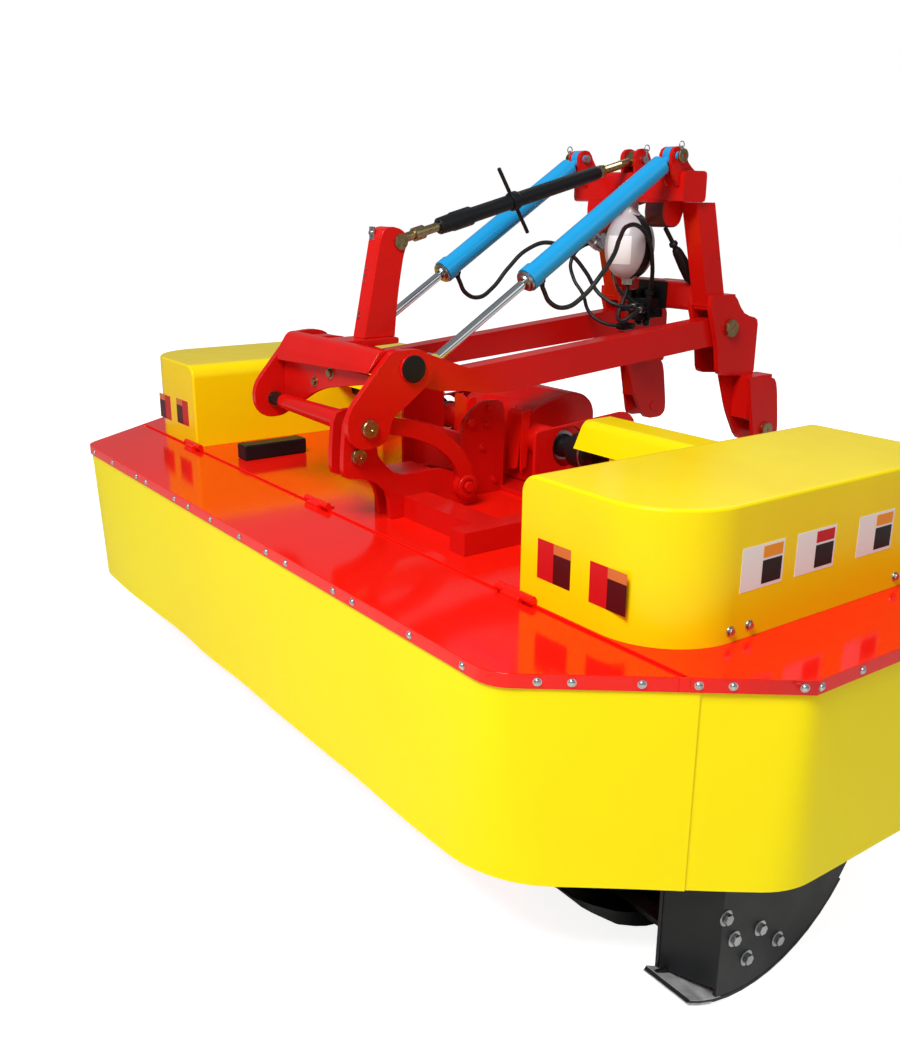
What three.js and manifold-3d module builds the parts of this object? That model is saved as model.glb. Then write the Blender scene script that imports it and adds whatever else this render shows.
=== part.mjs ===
// Front mower conditioner on a pushed three-point linkage, as it parks: standing on its
// skids and two drop legs. Millimetres, +Z up, travel towards -Y, left-hand end at +X.
// The origin is on the ground under the middle of the machine.
import * as THREE from 'three';
import { mergeVertices } from 'three/addons/utils/BufferGeometryUtils.js';
import Module from 'manifold-3d';

const wasm = await Module();
wasm.setup();

// ---------------------------------------------------------------- driving dimensions
const OVERALL_WIDTH = 3000;
const HALF_WIDTH = OVERALL_WIDTH / 2;
const CHAMFER_WIDTH = 363;        // how far in the cut-off corners reach
const FRONT_CORNER_RADIUS = 90;
const FRONT_HALF = HALF_WIDTH - CHAMFER_WIDTH;
const CHAMFER_DEPTH = 464;        // how far back the cut-off corners reach
const DECK_REAR = 1290;           // rear edge of the deck sheet
const RIM_BOTTOM = 700;           // height of the rim's lower edge over the ground
const RIM_HEIGHT = 30;
const SHEET = 5;                  // deck sheet
const RIM_WALL = 4;
const HEM_HEIGHT = 280;           // lower edge of the curtains over the ground
const CURTAIN_WALL = 3;
const CURTAIN_TOP_RADIUS = 86;
const CURTAIN_HEM_RADIUS = 260;
const GUARD_HINGE_Y = 278;
const GUARD_HINGE_LIFT = 12;      // hinge axis over the deck's top
const GUARD_GAP = 16;             // between the hinged sheet and the fixed sheet
const CURTAIN_GAP = 4;            // between the hinged curtain and the side curtains
const SEAT = 0.3;                 // gap between touching pieces
const PIN_PLAY = 0.5;             // radial play of a turning pin
const RUN_GAP = 8;                // free space beside a moving piece

const DECK_TOP = RIM_BOTTOM + RIM_HEIGHT;
const DECK_UNDER = DECK_TOP - SHEET;
const ON_DECK = DECK_TOP + SEAT;
// Linkage pins, as (y, z)
const PIVOT = [417, 1133];        // lifting arms on the head
const NOSE_PIN = [285, 993];
const LOWER_PIN = [275, 915];
const ARCH_FOOT = [612, 790];
const MAST_PIN = [540, 1435];
const ROD_PIN = [523, 1131];      // lift cylinders on the arms
const CYLINDER_PIN = [1386, 1671];
const TOP_LINK_PIN = [1436, 1665];
const REAR_PIVOT = [1650, 1156];  // lifting arms on the headstock
const HITCH_PIN = [1808, 818];

const ARM_X = 200;
const ARM_WIDTH = 56;
const ARM_DEPTH = 88;
const HEAD_PLATE_X = 250;         // inner face of the head's side plates
const HEAD_PLATE = 20;
const BRACKET_PLATE = 18;
const PIVOT_TUBE_RADIUS = 30;
const NOSE_TUBE_RADIUS = 22;
const NOSE_PIN_RADIUS = 15;

const BARREL_RADIUS = 31;
const BARREL_LENGTH = 638;        // from its eye to the gland end
const ROD_RADIUS = 13;
const LINK_TUBE_RADIUS = 21;
const LINK_ROD_RADIUS = 13;

const DISC_COUNT = 6;
const DISC_Y = 510;
const DISC_HEIGHT = 122;
const DISC_SWEEP = 248;
const BAR_TOP = 100;
const BAR_BOTTOM = 52;
const SHOE_RADIUS = 368;
const SHOE_WALL = 10;
const END_INSET = 90;             // end plate's outer face behind the side rim
const END_DEPTH = 120;
const END_OUTER = HALF_WIDTH - END_INSET;
const END_INNER = END_OUTER - END_DEPTH;
const END_PLATE = 8;
const DISC_END_GAP = 14;          // from the outer disc's knife circle to the end leg
const DISC_PITCH = 2 * (END_INNER - DISC_SWEEP - DISC_END_GAP) / (DISC_COUNT - 1);

const ROTOR = [980, 350];         // conditioner axis, as (y, z)
const ROTOR_TUBE_RADIUS = 70;
const ROTOR_JOURNAL = 26;
const RUNNING_PLAY = 0.8;          // between what turns on one pin or shaft
const TINE_REACH = 265;

const COVER_INSET = 204;
const COVER_WIDTH = 429;
const COVER_OUTER = HALF_WIDTH - COVER_INSET;
const COVER_INNER = COVER_OUTER - COVER_WIDTH;
const COVER_FRONT = 290;
const COVER_REAR = 1217;
const COVER_HEIGHT = 276;
const COVER_WALL = 3;
const SHAFT = [927, 872];         // cross shafts, as (y, z)

const STAND_Y = 1330;
const HITCH_REAR = 1872;
const CENTRE_Y = HITCH_REAR / 2;  // moves the front edge's frame to the machine's middle

const SIDES = [['left', 1], ['right', -1]];

const PAINT = {
  red: { color: 0xc4161c, roughness: 0.35, metalness: 0.1 },
  yellow: { color: 0xf5d800, roughness: 0.3, metalness: 0.0 },
  blue: { color: 0x1c8fd6, roughness: 0.3, metalness: 0.1 },
  black: { color: 0x1a1b1e, roughness: 0.55, metalness: 0.1 },
  steel: { color: 0x8d9093, roughness: 0.4, metalness: 0.9 },
  chrome: { color: 0xd9dde0, roughness: 0.1, metalness: 1.0 },
  brass: { color: 0xb89a4a, roughness: 0.35, metalness: 0.9 },
  silver: { color: 0xc9cbcf, roughness: 0.35, metalness: 0.6 },
  rubber: { color: 0x141416, roughness: 0.8, metalness: 0.0 },
};

// ---------------------------------------------------------------- solids
function solid(geometry) {
  const bare = geometry.index ? geometry.toNonIndexed() : geometry.clone();
  bare.deleteAttribute('normal');
  bare.deleteAttribute('uv');
  const merged = mergeVertices(bare, 1e-3);
  return new wasm.Manifold(new wasm.Mesh({
    numProp: 3,
    vertProperties: new Float32Array(merged.attributes.position.array),
    triVerts: new Uint32Array(merged.index.array),
  }));
}

function geometryOf(body) {
  const mesh = body.getMesh();
  const geometry = new THREE.BufferGeometry();
  geometry.setAttribute('position', new THREE.BufferAttribute(new Float32Array(mesh.vertProperties), 3));
  geometry.setIndex(new THREE.BufferAttribute(new Uint32Array(mesh.triVerts), 1));
  return geometry;
}

const join = (...bodies) => bodies.flat().reduce((all, body) => all.add(body));
const cut = (body, ...tools) => tools.flat().reduce((left, tool) => left.subtract(tool), body);

// A box between two corners; the values of one axis may come in either order.
function block([xa, xb], [ya, yb], [za, zb]) {
  const box = new THREE.BoxGeometry(Math.abs(xb - xa), Math.abs(yb - ya), Math.abs(zb - za));
  return solid(box.translate((xa + xb) / 2, (ya + yb) / 2, (za + zb) / 2));
}

// An outline from (a, b, corner radius) rows; a missing radius is a sharp corner.
function outline(rows) {
  const shape = new THREE.Shape();
  const count = rows.length;
  rows.forEach(([a, b, radius = 0], i) => {
    const corner = new THREE.Vector2(a, b);
    const before = new THREE.Vector2(...rows[(i + count - 1) % count]).sub(corner);
    const after = new THREE.Vector2(...rows[(i + 1) % count]).sub(corner);
    const reach = Math.min(radius, before.length() * 0.49, after.length() * 0.49);
    const start = corner.clone().add(before.setLength(reach));
    const end = corner.clone().add(after.setLength(reach));
    if (i === 0) shape.moveTo(start.x, start.y);
    else shape.lineTo(start.x, start.y);
    if (radius > 0) shape.quadraticCurveTo(corner.x, corner.y, end.x, end.y);
  });
  shape.closePath();
  return shape;
}

function extruded(shape, depth, curveSegments = 2) {
  return new THREE.ExtrudeGeometry(shape, { depth, bevelEnabled: false, curveSegments });
}

// A (y, z) outline made thick from xa to xb.
function slabX(rows, xa, xb, curveSegments = 2) {
  const geometry = extruded(outline(rows), Math.abs(xb - xa), curveSegments);
  const turn = new THREE.Matrix4().makeBasis(
    new THREE.Vector3(0, 1, 0), new THREE.Vector3(0, 0, 1), new THREE.Vector3(1, 0, 0));
  return solid(geometry.applyMatrix4(turn).translate(Math.min(xa, xb), 0, 0));
}

// An (x, y) outline made thick from za to zb.
function slabZ(rows, za, zb) {
  return solid(extruded(outline(rows), zb - za).translate(0, 0, za));
}

// An (x, z) outline made thick from ya to yb.
function slabY(rows, ya, yb) {
  return solid(extruded(outline(rows), yb - ya).rotateX(Math.PI / 2).translate(0, yb, 0));
}

function rodX(radius, xa, xb, [y, z], sides = 16) {
  const rod = new THREE.CylinderGeometry(radius, radius, Math.abs(xb - xa), sides);
  return solid(rod.rotateZ(Math.PI / 2).translate((xa + xb) / 2, y, z));
}

function rodZ(radius, za, zb, [x, y], sides = 16) {
  const rod = new THREE.CylinderGeometry(radius, radius, zb - za, sides);
  return solid(rod.rotateX(Math.PI / 2).translate(x, y, (za + zb) / 2));
}

// A solid of revolution about the line from `start` towards `end`; rows are (along, radius).
function turned(rows, start, end, sides = 16) {
  const profile = rows.map(([along, radius]) => new THREE.Vector2(radius, along));
  const geometry = new THREE.LatheGeometry(profile, sides);
  const aim = end.clone().sub(start).normalize();
  const turn = new THREE.Quaternion().setFromUnitVectors(new THREE.Vector3(0, 1, 0), aim);
  return solid(geometry.applyQuaternion(turn).translate(start.x, start.y, start.z));
}

const turnedX = (rows, side, [y, z], sides) => turned(
  rows, new THREE.Vector3(0, y, z), new THREE.Vector3(side, y, z), sides);

// A rectangular bar in a fore-aft plane between two (y, z) points.
function barX(from, to, xa, xb, depth) {
  const [ya, za] = from;
  const length = Math.hypot(to[0] - ya, to[1] - za);
  const box = new THREE.BoxGeometry(Math.abs(xb - xa), length, depth);
  box.translate(0, length / 2, 0).rotateX(Math.atan2(to[1] - za, to[0] - ya));
  return solid(box.translate((xa + xb) / 2, ya, za));
}

// A closed skin through rings of points, each ring convex and with as many points.
function loft(rings) {
  const size = rings[0].length;
  const points = rings.flat().flatMap((p) => [p.x, p.y, p.z]);
  const faces = [];
  for (let r = 0; r + 1 < rings.length; r += 1) {
    for (let i = 0; i < size; i += 1) {
      const a = r * size + i;
      const b = r * size + ((i + 1) % size);
      faces.push(a, b, b + size, a, b + size, a + size);
    }
  }
  const last = (rings.length - 1) * size;
  for (let i = 1; i + 1 < size; i += 1) faces.push(0, i + 1, i, last, last + i, last + i + 1);
  const at = (i) => new THREE.Vector3().fromArray(points, 3 * i);
  let volume = 0;
  for (let i = 0; i < faces.length; i += 3) {
    volume += at(faces[i]).dot(at(faces[i + 1]).cross(at(faces[i + 2])));
  }
  if (volume < 0) faces.reverse();
  const geometry = new THREE.BufferGeometry();
  geometry.setAttribute('position', new THREE.Float32BufferAttribute(points, 3));
  geometry.setIndex(faces);
  return solid(geometry);
}

// The plan line of a wall: corners rounded by an arc of `steps` chords (none when steps is 0).
function roundedLine(corners, radius, steps) {
  return corners.flatMap((corner, i) => {
    if (i === 0 || i === corners.length - 1 || steps === 0) return [corner.clone()];
    const before = corners[i - 1].clone().sub(corner).normalize();
    const after = corners[i + 1].clone().sub(corner).normalize();
    const half = Math.acos(THREE.MathUtils.clamp(before.dot(after), -1, 1)) / 2;
    const reach = radius / Math.tan(half);
    const centre = corner.clone().add(
      before.clone().add(after).normalize().multiplyScalar(radius / Math.sin(half)));
    const start = corner.clone().addScaledVector(before, reach).sub(centre);
    const sweep = Math.PI - 2 * half;
    const sense = Math.sign(start.clone().cross(corner.clone().sub(centre)));
    return Array.from({ length: steps + 1 }, (_, k) => (
      start.clone().rotateAround(new THREE.Vector2(), sense * sweep * k / steps).add(centre)));
  });
}

// The same line moved inwards, to the right of its direction.
function inset(corners, distance) {
  return corners.map((corner, i) => {
    const lines = [i - 1, i].filter((k) => k >= 0 && k + 1 < corners.length).map((k) => {
      const run = corners[k + 1].clone().sub(corners[k]).normalize();
      return new THREE.Vector2(run.y, -run.x);
    });
    const across = lines.reduce((sum, n) => sum.add(n), new THREE.Vector2()).normalize();
    return corner.clone().addScaledVector(across, distance / across.dot(lines[0]));
  });
}

// A standing wall along a plan line, whose corners may be rounder at the foot than at the head.
function wall(corners, thickness, { head, foot, headRadius = 0, footRadius = 0, steps = 0 }) {
  const face = (line, radius, z) => roundedLine(line, radius, steps)
    .map((p) => new THREE.Vector3(p.x, p.y, z));
  const inner = inset(corners, thickness);
  const loops = [
    face(corners, headRadius, head),
    face(corners, footRadius, foot),
    face(inner, Math.max(footRadius - thickness, 0), foot),
    face(inner, Math.max(headRadius - thickness, 0), head),
  ];
  return loft(loops[0].map((_, i) => loops.map((loop) => loop[i])));
}

// A tube along a chosen line of points, in steps of about two and a half diameters.
function hose(points, radius) {
  const curve = new THREE.CatmullRomCurve3(points.map((p) => new THREE.Vector3(...p)), false, 'centripetal');
  const section = new THREE.Shape();
  section.absarc(0, 0, radius, 0, 2 * Math.PI);
  const steps = Math.min(80, Math.ceil(curve.getLength() / (radius * 5)));
  return solid(new THREE.ExtrudeGeometry(section, { steps, extrudePath: curve, curveSegments: 4 }));
}

const machine = new THREE.Group();
machine.position.y = -CENTRE_Y;

function assembly(name) {
  const group = new THREE.Group();
  group.name = name;
  machine.add(group);
  return group;
}

function place(group, name, body, finish) {
  const mesh = new THREE.Mesh(geometryOf(body), new THREE.MeshStandardMaterial(finish));
  mesh.name = name;
  group.add(mesh);
}

// ---------------------------------------------------------------- deck and rim
const mower = assembly('mower');
const guard = assembly('front_guard_assembly');

const chamferX = (y) => FRONT_HALF + (HALF_WIDTH - FRONT_HALF) * y / CHAMFER_DEPTH;
const guardEdge = GUARD_HINGE_Y - GUARD_GAP / 2;
const deckEdge = GUARD_HINGE_Y + GUARD_GAP / 2;
const guardHinge = [GUARD_HINGE_Y, DECK_TOP + GUARD_HINGE_LIFT];

const deckSheet = slabZ([
  [chamferX(deckEdge), deckEdge], [HALF_WIDTH, CHAMFER_DEPTH], [HALF_WIDTH, DECK_REAR],
  [-HALF_WIDTH, DECK_REAR], [-HALF_WIDTH, CHAMFER_DEPTH], [-chamferX(deckEdge), deckEdge],
], DECK_UNDER, DECK_TOP);
const sideLine = (side, inwards, front = deckEdge, rear = DECK_REAR) => {
  const line = [
    new THREE.Vector2(side * chamferX(front), front),
    new THREE.Vector2(side * HALF_WIDTH, CHAMFER_DEPTH),
    new THREE.Vector2(side * HALF_WIDTH, rear),
  ];
  return inset(side > 0 ? line.reverse() : line, inwards);
};
const rimWalls = SIDES.map(([, side]) => wall(
  sideLine(side, 0), RIM_WALL, { head: DECK_TOP, foot: RIM_BOTTOM }));
const rearRim = block([-HALF_WIDTH, HALF_WIDTH], [DECK_REAR - RIM_WALL, DECK_REAR], [RIM_BOTTOM, DECK_TOP]);

const HINGE_X = COVER_INNER + 3;
const HINGE_PLACES = [-HINGE_X, 0, HINGE_X];
const KNUCKLE_RADIUS = 10;
const KNUCKLE_HALF = 30;
const knuckle = (x, half, edge) => join(
  rodX(KNUCKLE_RADIUS, x - half, x + half, guardHinge, 12),
  block([x - half, x + half], [GUARD_HINGE_Y, edge], [DECK_UNDER, guardHinge[1]]));
const deckKnuckles = HINGE_PLACES.flatMap((x) => [-1, 1].map((end) => knuckle(
  x + end * (KNUCKLE_HALF + RUNNING_PLAY + KNUCKLE_HALF / 2), KNUCKLE_HALF / 2, deckEdge + 2)));
place(mower, 'deck_panel', join(deckSheet, rimWalls, rearRim, deckKnuckles), PAINT.red);

const frontLine = (edge) => [
  new THREE.Vector2(chamferX(edge), edge), new THREE.Vector2(FRONT_HALF, 0),
  new THREE.Vector2(-FRONT_HALF, 0), new THREE.Vector2(-chamferX(edge), edge),
];
const guardLine = frontLine(guardEdge);
const guardCorner = { headRadius: FRONT_CORNER_RADIUS, footRadius: FRONT_CORNER_RADIUS, steps: 5 };
const guardSheet = slabZ(
  roundedLine(guardLine, FRONT_CORNER_RADIUS, guardCorner.steps).map((p) => [p.x, p.y]), DECK_UNDER, DECK_TOP);
const guardRim = wall(guardLine, RIM_WALL, { head: DECK_TOP, foot: RIM_BOTTOM, ...guardCorner });
const guardKnuckles = HINGE_PLACES.map((x) => knuckle(x, KNUCKLE_HALF, guardEdge - KNUCKLE_RADIUS));
const guardRib = block([-FRONT_HALF, FRONT_HALF], [guardEdge - RIM_WALL, guardEdge], [RIM_BOTTOM, DECK_TOP]);
place(guard, 'front_guard', join(guardSheet, guardRim, guardKnuckles, guardRib), PAINT.red);

// ---------------------------------------------------------------- curtains
const CURTAIN_TUCK = RIM_WALL + SEAT;
const curtainShape = {
  head: DECK_UNDER - SEAT, foot: HEM_HEIGHT, headRadius: CURTAIN_TOP_RADIUS,
  footRadius: CURTAIN_HEM_RADIUS, steps: 5,
};
const frontHem = inset(frontLine(GUARD_HINGE_Y - CURTAIN_GAP / 2), CURTAIN_TUCK);
place(guard, 'front_curtain', wall(frontHem, CURTAIN_WALL, curtainShape), PAINT.yellow);
for (const [name, side] of SIDES) {
  const line = sideLine(side, CURTAIN_TUCK, GUARD_HINGE_Y + CURTAIN_GAP / 2, DECK_REAR - CURTAIN_TUCK);
  place(mower, `side_curtain_${name}`, wall(line, CURTAIN_WALL, {
    ...curtainShape, footRadius: CURTAIN_TOP_RADIUS + (CURTAIN_HEM_RADIUS - CURTAIN_TOP_RADIUS) / 2, steps: 4,
  }), PAINT.yellow);
}

// ---------------------------------------------------------------- frame under the deck
const UNDER_TOP = DECK_UNDER - SEAT;
const FRONT_BEAM = { front: 380, rear: 450, bottom: 655 };
const REAR_BEAM = { front: 1200, rear: 1270, bottom: 668 };
const RAIL_X = 560;
const RAIL_WIDTH = 60;
const RAIL_TOP = ON_DECK + 58;
const frontBeam = block([-END_INNER + SEAT, END_INNER - SEAT], [FRONT_BEAM.front, FRONT_BEAM.rear],
  [FRONT_BEAM.bottom, UNDER_TOP]);
const rearBeam = block([-END_OUTER + END_PLATE + SEAT, END_OUTER - END_PLATE - SEAT],
  [REAR_BEAM.front, REAR_BEAM.rear], [REAR_BEAM.bottom, UNDER_TOP]);
const lowRails = SIDES.map(([, side]) => block(
  [side * (RAIL_X - RAIL_WIDTH / 2), side * (RAIL_X + RAIL_WIDTH / 2)],
  [FRONT_BEAM.rear - 1, REAR_BEAM.front + 1], [REAR_BEAM.bottom + 8, UNDER_TOP]));
place(mower, 'under_frame', join(frontBeam, rearBeam, lowRails), PAINT.red);

// ---------------------------------------------------------------- carrier on the deck
const bracketInner = HEAD_PLATE_X - 2 - 2 * BRACKET_PLATE - 1;
const bracketOuter = bracketInner + BRACKET_PLATE;
const archInner = bracketOuter;
const archOuter = archInner + BRACKET_PLATE;
const CARRIER_BEAM = { front: 395, rear: 515, top: 848 };
const bracketRows = [
  [CARRIER_BEAM.front - 20, ON_DECK], [CARRIER_BEAM.front - 28, 812, 30], [310, 850, 30], [232, 862, 16],
  [232, 915, 30], [244, 1028, 30], [326, 1028, 30], [330, 905, 40],
  [CARRIER_BEAM.front, CARRIER_BEAM.top, 20], [540, CARRIER_BEAM.top, 30],
  [ARCH_FOOT[0] - 20, 826, 20], [ARCH_FOOT[0] + 36, 826, 24], [ARCH_FOOT[0] + 44, ON_DECK],
];
const BRACKET_PAIR = 42;           // between the two nose plates, which stand on the left only
const innerFace = bracketInner - BRACKET_PAIR - BRACKET_PLATE;
const bracketPlates = [innerFace, bracketInner].map((x) => slabX(bracketRows, x, x + BRACKET_PLATE));
const carrierBeam = block([innerFace - 40, bracketInner + 1], [CARRIER_BEAM.front, CARRIER_BEAM.rear],
  [ON_DECK, CARRIER_BEAM.top]);
const footBeam = block([innerFace - 40, bracketInner + 1], [ARCH_FOOT[0] - 30, ARCH_FOOT[0] + 30],
  [ON_DECK, ON_DECK + 40]);
const carrierHole = rodX(NOSE_PIN_RADIUS + SEAT, innerFace - 5, bracketOuter + 5, NOSE_PIN);
const lowerPin = rodX(12, innerFace - 8, bracketOuter + 10, LOWER_PIN, 16);
const topRail = join(
  block([RAIL_X - RAIL_WIDTH / 2, RAIL_X + RAIL_WIDTH / 2], [350, 1140], [ON_DECK, RAIL_TOP]),
  block([bracketOuter - 1, RAIL_X - RAIL_WIDTH / 2 + 1], [CARRIER_BEAM.front + 20, CARRIER_BEAM.rear - 20],
    [ON_DECK, RAIL_TOP]));
const ARCH_BAND = 46;
const archShape = new THREE.Shape();
const span = [ARCH_FOOT[0] - NOSE_PIN[0], NOSE_PIN[1] - ARCH_FOOT[1]];
archShape.absellipse(
  NOSE_PIN[0], ARCH_FOOT[1], span[0] + ARCH_BAND / 2, span[1] + ARCH_BAND / 2, 0, Math.PI / 2, false);
archShape.absellipse(
  NOSE_PIN[0], ARCH_FOOT[1], span[0] - ARCH_BAND / 2, span[1] - ARCH_BAND / 2, Math.PI / 2, 0, true);
const archBand = extruded(archShape, BRACKET_PLATE, 9);
archBand.applyMatrix4(new THREE.Matrix4().makeBasis(
  new THREE.Vector3(0, 1, 0), new THREE.Vector3(0, 0, 1), new THREE.Vector3(1, 0, 0)));
archBand.translate(archInner, 0, 0);
const arch = join(
  cut(join(solid(archBand), rodX(34, archInner, archOuter, NOSE_PIN), rodX(36, archInner, archOuter, ARCH_FOOT)),
    rodX(NOSE_PIN_RADIUS + SEAT, archInner - 5, archOuter + 5, NOSE_PIN)),
  rodX(14, bracketInner - 6, archOuter + 10, ARCH_FOOT, 16));
place(mower, 'carrier_base',
  join(cut(join(carrierBeam, footBeam, bracketPlates, topRail), carrierHole), lowerPin, arch), PAINT.red);

// ---------------------------------------------------------------- head: side plates, beam, nose tube, mast
const headRows = [
  [310, 940, 30], [250, 940, 30], [221, 985, 40], [228, 1040, 40], [280, 1098, 30], [326, 1150, 30], [352, 1178, 20],
  [420, 1184, 30], [470, 1172, 30], [482, 1100, 30], [400, 1040, 40], [352, 1010, 30], [345, 960, 30],
];
for (const [name, side] of SIDES) {
  const plate = slabX(headRows, side * HEAD_PLATE_X, side * (HEAD_PLATE_X + HEAD_PLATE), 3);
  const through = [side * (HEAD_PLATE_X - 5), side * (HEAD_PLATE_X + HEAD_PLATE + 5)];
  const holes = [
    rodX(PIVOT_TUBE_RADIUS + PIN_PLAY, ...through, PIVOT, 32),
    rodX(NOSE_PIN_RADIUS + SEAT, ...through, NOSE_PIN),
  ];
  place(mower, `head_plate_${name}`, cut(plate, holes), PAINT.red);
}
const headReach = HEAD_PLATE_X - SEAT;
const beamBox = slabX([
  [266, 1090], [304, 1152, 16], [336, 1183, 16], [356, 1183], [356, 1126], [292, 1060],
], -headReach, headReach);
const SADDLE_HALF = 150;
const SADDLE_TOP = 1183;
const saddle = slabX([
  [305, 1108], [345, SADDLE_TOP], [548, SADDLE_TOP], [548, SADDLE_TOP - 13], [352, SADDLE_TOP - 13], [330, 1108],
], -SADDLE_HALF, SADDLE_HALF);
const headWeb = slabY([[-headReach, 1128], [-headReach, 1006], [-20, 1128]], 318, 330);
place(mower, 'head_beam', join(beamBox, saddle, headWeb), PAINT.red);

const noseEnd = HEAD_PLATE_X + HEAD_PLATE;
const noseProfile = [
  [-noseEnd - 12, 0], [-noseEnd - 12, 18], [-noseEnd - 8, 23], [-noseEnd - SEAT, 23], [-noseEnd - SEAT, NOSE_PIN_RADIUS],
  [-headReach, NOSE_PIN_RADIUS], [-headReach, NOSE_TUBE_RADIUS - 8], [innerFace - SEAT, NOSE_TUBE_RADIUS],
  [innerFace - SEAT, NOSE_PIN_RADIUS],
  [noseEnd + SEAT, NOSE_PIN_RADIUS], [noseEnd + SEAT, 23], [noseEnd + 8, 23], [noseEnd + 12, 18], [noseEnd + 12, 0],
];
place(mower, 'nose_tube', turnedX(noseProfile, 1, NOSE_PIN), PAINT.red);

const MAST_HALF = 30;
const MAST_WALL = 10;
const MAST_PIN_RADIUS = 14;
const mastRows = [
  [421, SADDLE_TOP + SEAT], [482, 1455, 20], [508, 1474, 20], [562, 1468, 24], [574, 1425, 24], [538, 1380, 30],
  [502, 1260, 40], [512, SADDLE_TOP + SEAT],
];
const mastShell = slabX(mastRows, -MAST_HALF, MAST_HALF);
const mastPocket = slabX([
  [442, SADDLE_TOP - 20], [501, 1440], [514, 1500], [620, 1500], [620, SADDLE_TOP - 20],
], -MAST_HALF + MAST_WALL, MAST_HALF - MAST_WALL);
const mastHole = rodX(MAST_PIN_RADIUS + PIN_PLAY, -MAST_HALF - 5, MAST_HALF + 5, MAST_PIN);
const mastFoot = block([-MAST_HALF - 16, MAST_HALF + 16], [406, 528], [SADDLE_TOP + SEAT, SADDLE_TOP + 12]);
place(mower, 'mast', join(cut(mastShell, mastPocket, mastHole), mastFoot), PAINT.red);

// ---------------------------------------------------------------- lifting arms
const arms = assembly('lifting_arms');
const ROD_POCKET_RADIUS = 38;
const ROD_POCKET_WIDTH = 32;
const ARM_TOP = 1185;
const armRows = [
  [PIVOT[0] - 44, PIVOT[1] - 20, 30], [PIVOT[0] - 40, PIVOT[1] + 36, 40], [PIVOT[0] + 20, PIVOT[1] + 40, 30],
  [490, 1160, 20], [560, 1158, 20], [600, 1118, 30], [1560, ARM_TOP, 60], [REAR_PIVOT[0] + 20, REAR_PIVOT[1] + 38, 30],
  [REAR_PIVOT[0] + 50, REAR_PIVOT[1], 40], [REAR_PIVOT[0] + 10, REAR_PIVOT[1] - 54, 40], [1560, ARM_TOP - ARM_DEPTH, 60],
  [700, 1016, 90], [480, 1072, 60],
];
for (const [name, side] of SIDES) {
  const faces = [side * (ARM_X - ARM_WIDTH / 2), side * (ARM_X + ARM_WIDTH / 2)];
  const past = [faces[0] - side * 5, faces[1] + side * 5];
  const pocket = [side * (ARM_X - ROD_POCKET_WIDTH / 2), side * (ARM_X + ROD_POCKET_WIDTH / 2)];
  const body = slabX(armRows, ...faces, 3);
  const slot = join(
    rodX(ROD_POCKET_RADIUS, ...pocket, ROD_PIN),
    block(pocket, [ROD_PIN[0] - ROD_POCKET_RADIUS, ROD_PIN[0] + 110], [ROD_PIN[1], ROD_PIN[1] + 120]));
  const arm = cut(body, slot, rodX(PIVOT_TUBE_RADIUS + SEAT, ...past, PIVOT, 32),
    rodX(20 + PIN_PLAY, ...past, REAR_PIVOT));
  place(arms, `arm_${name}`, arm, PAINT.red);
}
const capEnd = HEAD_PLATE_X + HEAD_PLATE + 6;
place(arms, 'pivot_tube', turnedX([
  [-capEnd, 0], [-capEnd, PIVOT_TUBE_RADIUS - 4], [-capEnd + 4, PIVOT_TUBE_RADIUS],
  [capEnd - 4, PIVOT_TUBE_RADIUS], [capEnd, PIVOT_TUBE_RADIUS - 4], [capEnd, 0],
], 1, PIVOT, 32), PAINT.red);

// ---------------------------------------------------------------- headstock
const headstock = assembly('headstock');
const TOP_BEAM = { half: 240, front: 1402, rear: 1502, bottom: 1540, top: 1630 };
const CYLINDER_X = ARM_X;
const EYE_HALF = 13;
const EYE_RADIUS = 26;
const LUG = 12;
const lugPair = (x, half, rows) => [-1, 1].map((end) => slabX(
  rows, x + end * (half + 1.5), x + end * (half + 1.5 + LUG)));
const cylinderLugRows = [
  [1420, TOP_BEAM.bottom + 30], [1376, 1600, 30], [1357, 1656, 20], [1364, 1694, 20], [1404, 1700, 24],
  [1430, 1650, 30], [1470, TOP_BEAM.top - 5],
];
const linkLugRows = [
  [1410, TOP_BEAM.top - 5], [1402, 1680, 20], [1420, 1698, 20], [1456, 1698, 20], [1476, 1660, 30],
  [1496, TOP_BEAM.top - 5],
];
const hitchLugRows = [
  [TOP_BEAM.rear - 5, 1530], [TOP_BEAM.rear - 5, 1640], [1560, 1636, 30], [1590, 1590, 30], [1560, 1545, 30],
];
const DROP_BRACKET = { inner: 96, outer: 168 };
const dropBracket = SIDES.map(([, side]) => slabX([
  [1400, TOP_BEAM.bottom + 5], [1396, 1500, 20], [1416, 1470, 20], [1470, 1470, 20], [1496, TOP_BEAM.bottom + 5],
], side * DROP_BRACKET.inner, side * DROP_BRACKET.outer));
const topBeam = join(
  slabX([[TOP_BEAM.front, TOP_BEAM.bottom, 14], [TOP_BEAM.front, TOP_BEAM.top, 14],
    [TOP_BEAM.rear, TOP_BEAM.top, 14], [TOP_BEAM.rear, TOP_BEAM.bottom, 14]], -TOP_BEAM.half, TOP_BEAM.half),
  SIDES.flatMap(([, side]) => lugPair(side * CYLINDER_X, EYE_HALF, cylinderLugRows)),
  lugPair(0, 20, linkLugRows), lugPair(0, 26, hitchLugRows), dropBracket);
const topBeamHoles = [
  ...SIDES.map(([, side]) => rodX(12 + PIN_PLAY, side * CYLINDER_X - 40, side * CYLINDER_X + 40, CYLINDER_PIN, 16)),
  rodX(13, -60, 60, [1560, 1590], 16),
];
place(headstock, 'headstock_top_beam', cut(topBeam, topBeamHoles), PAINT.red);

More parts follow.
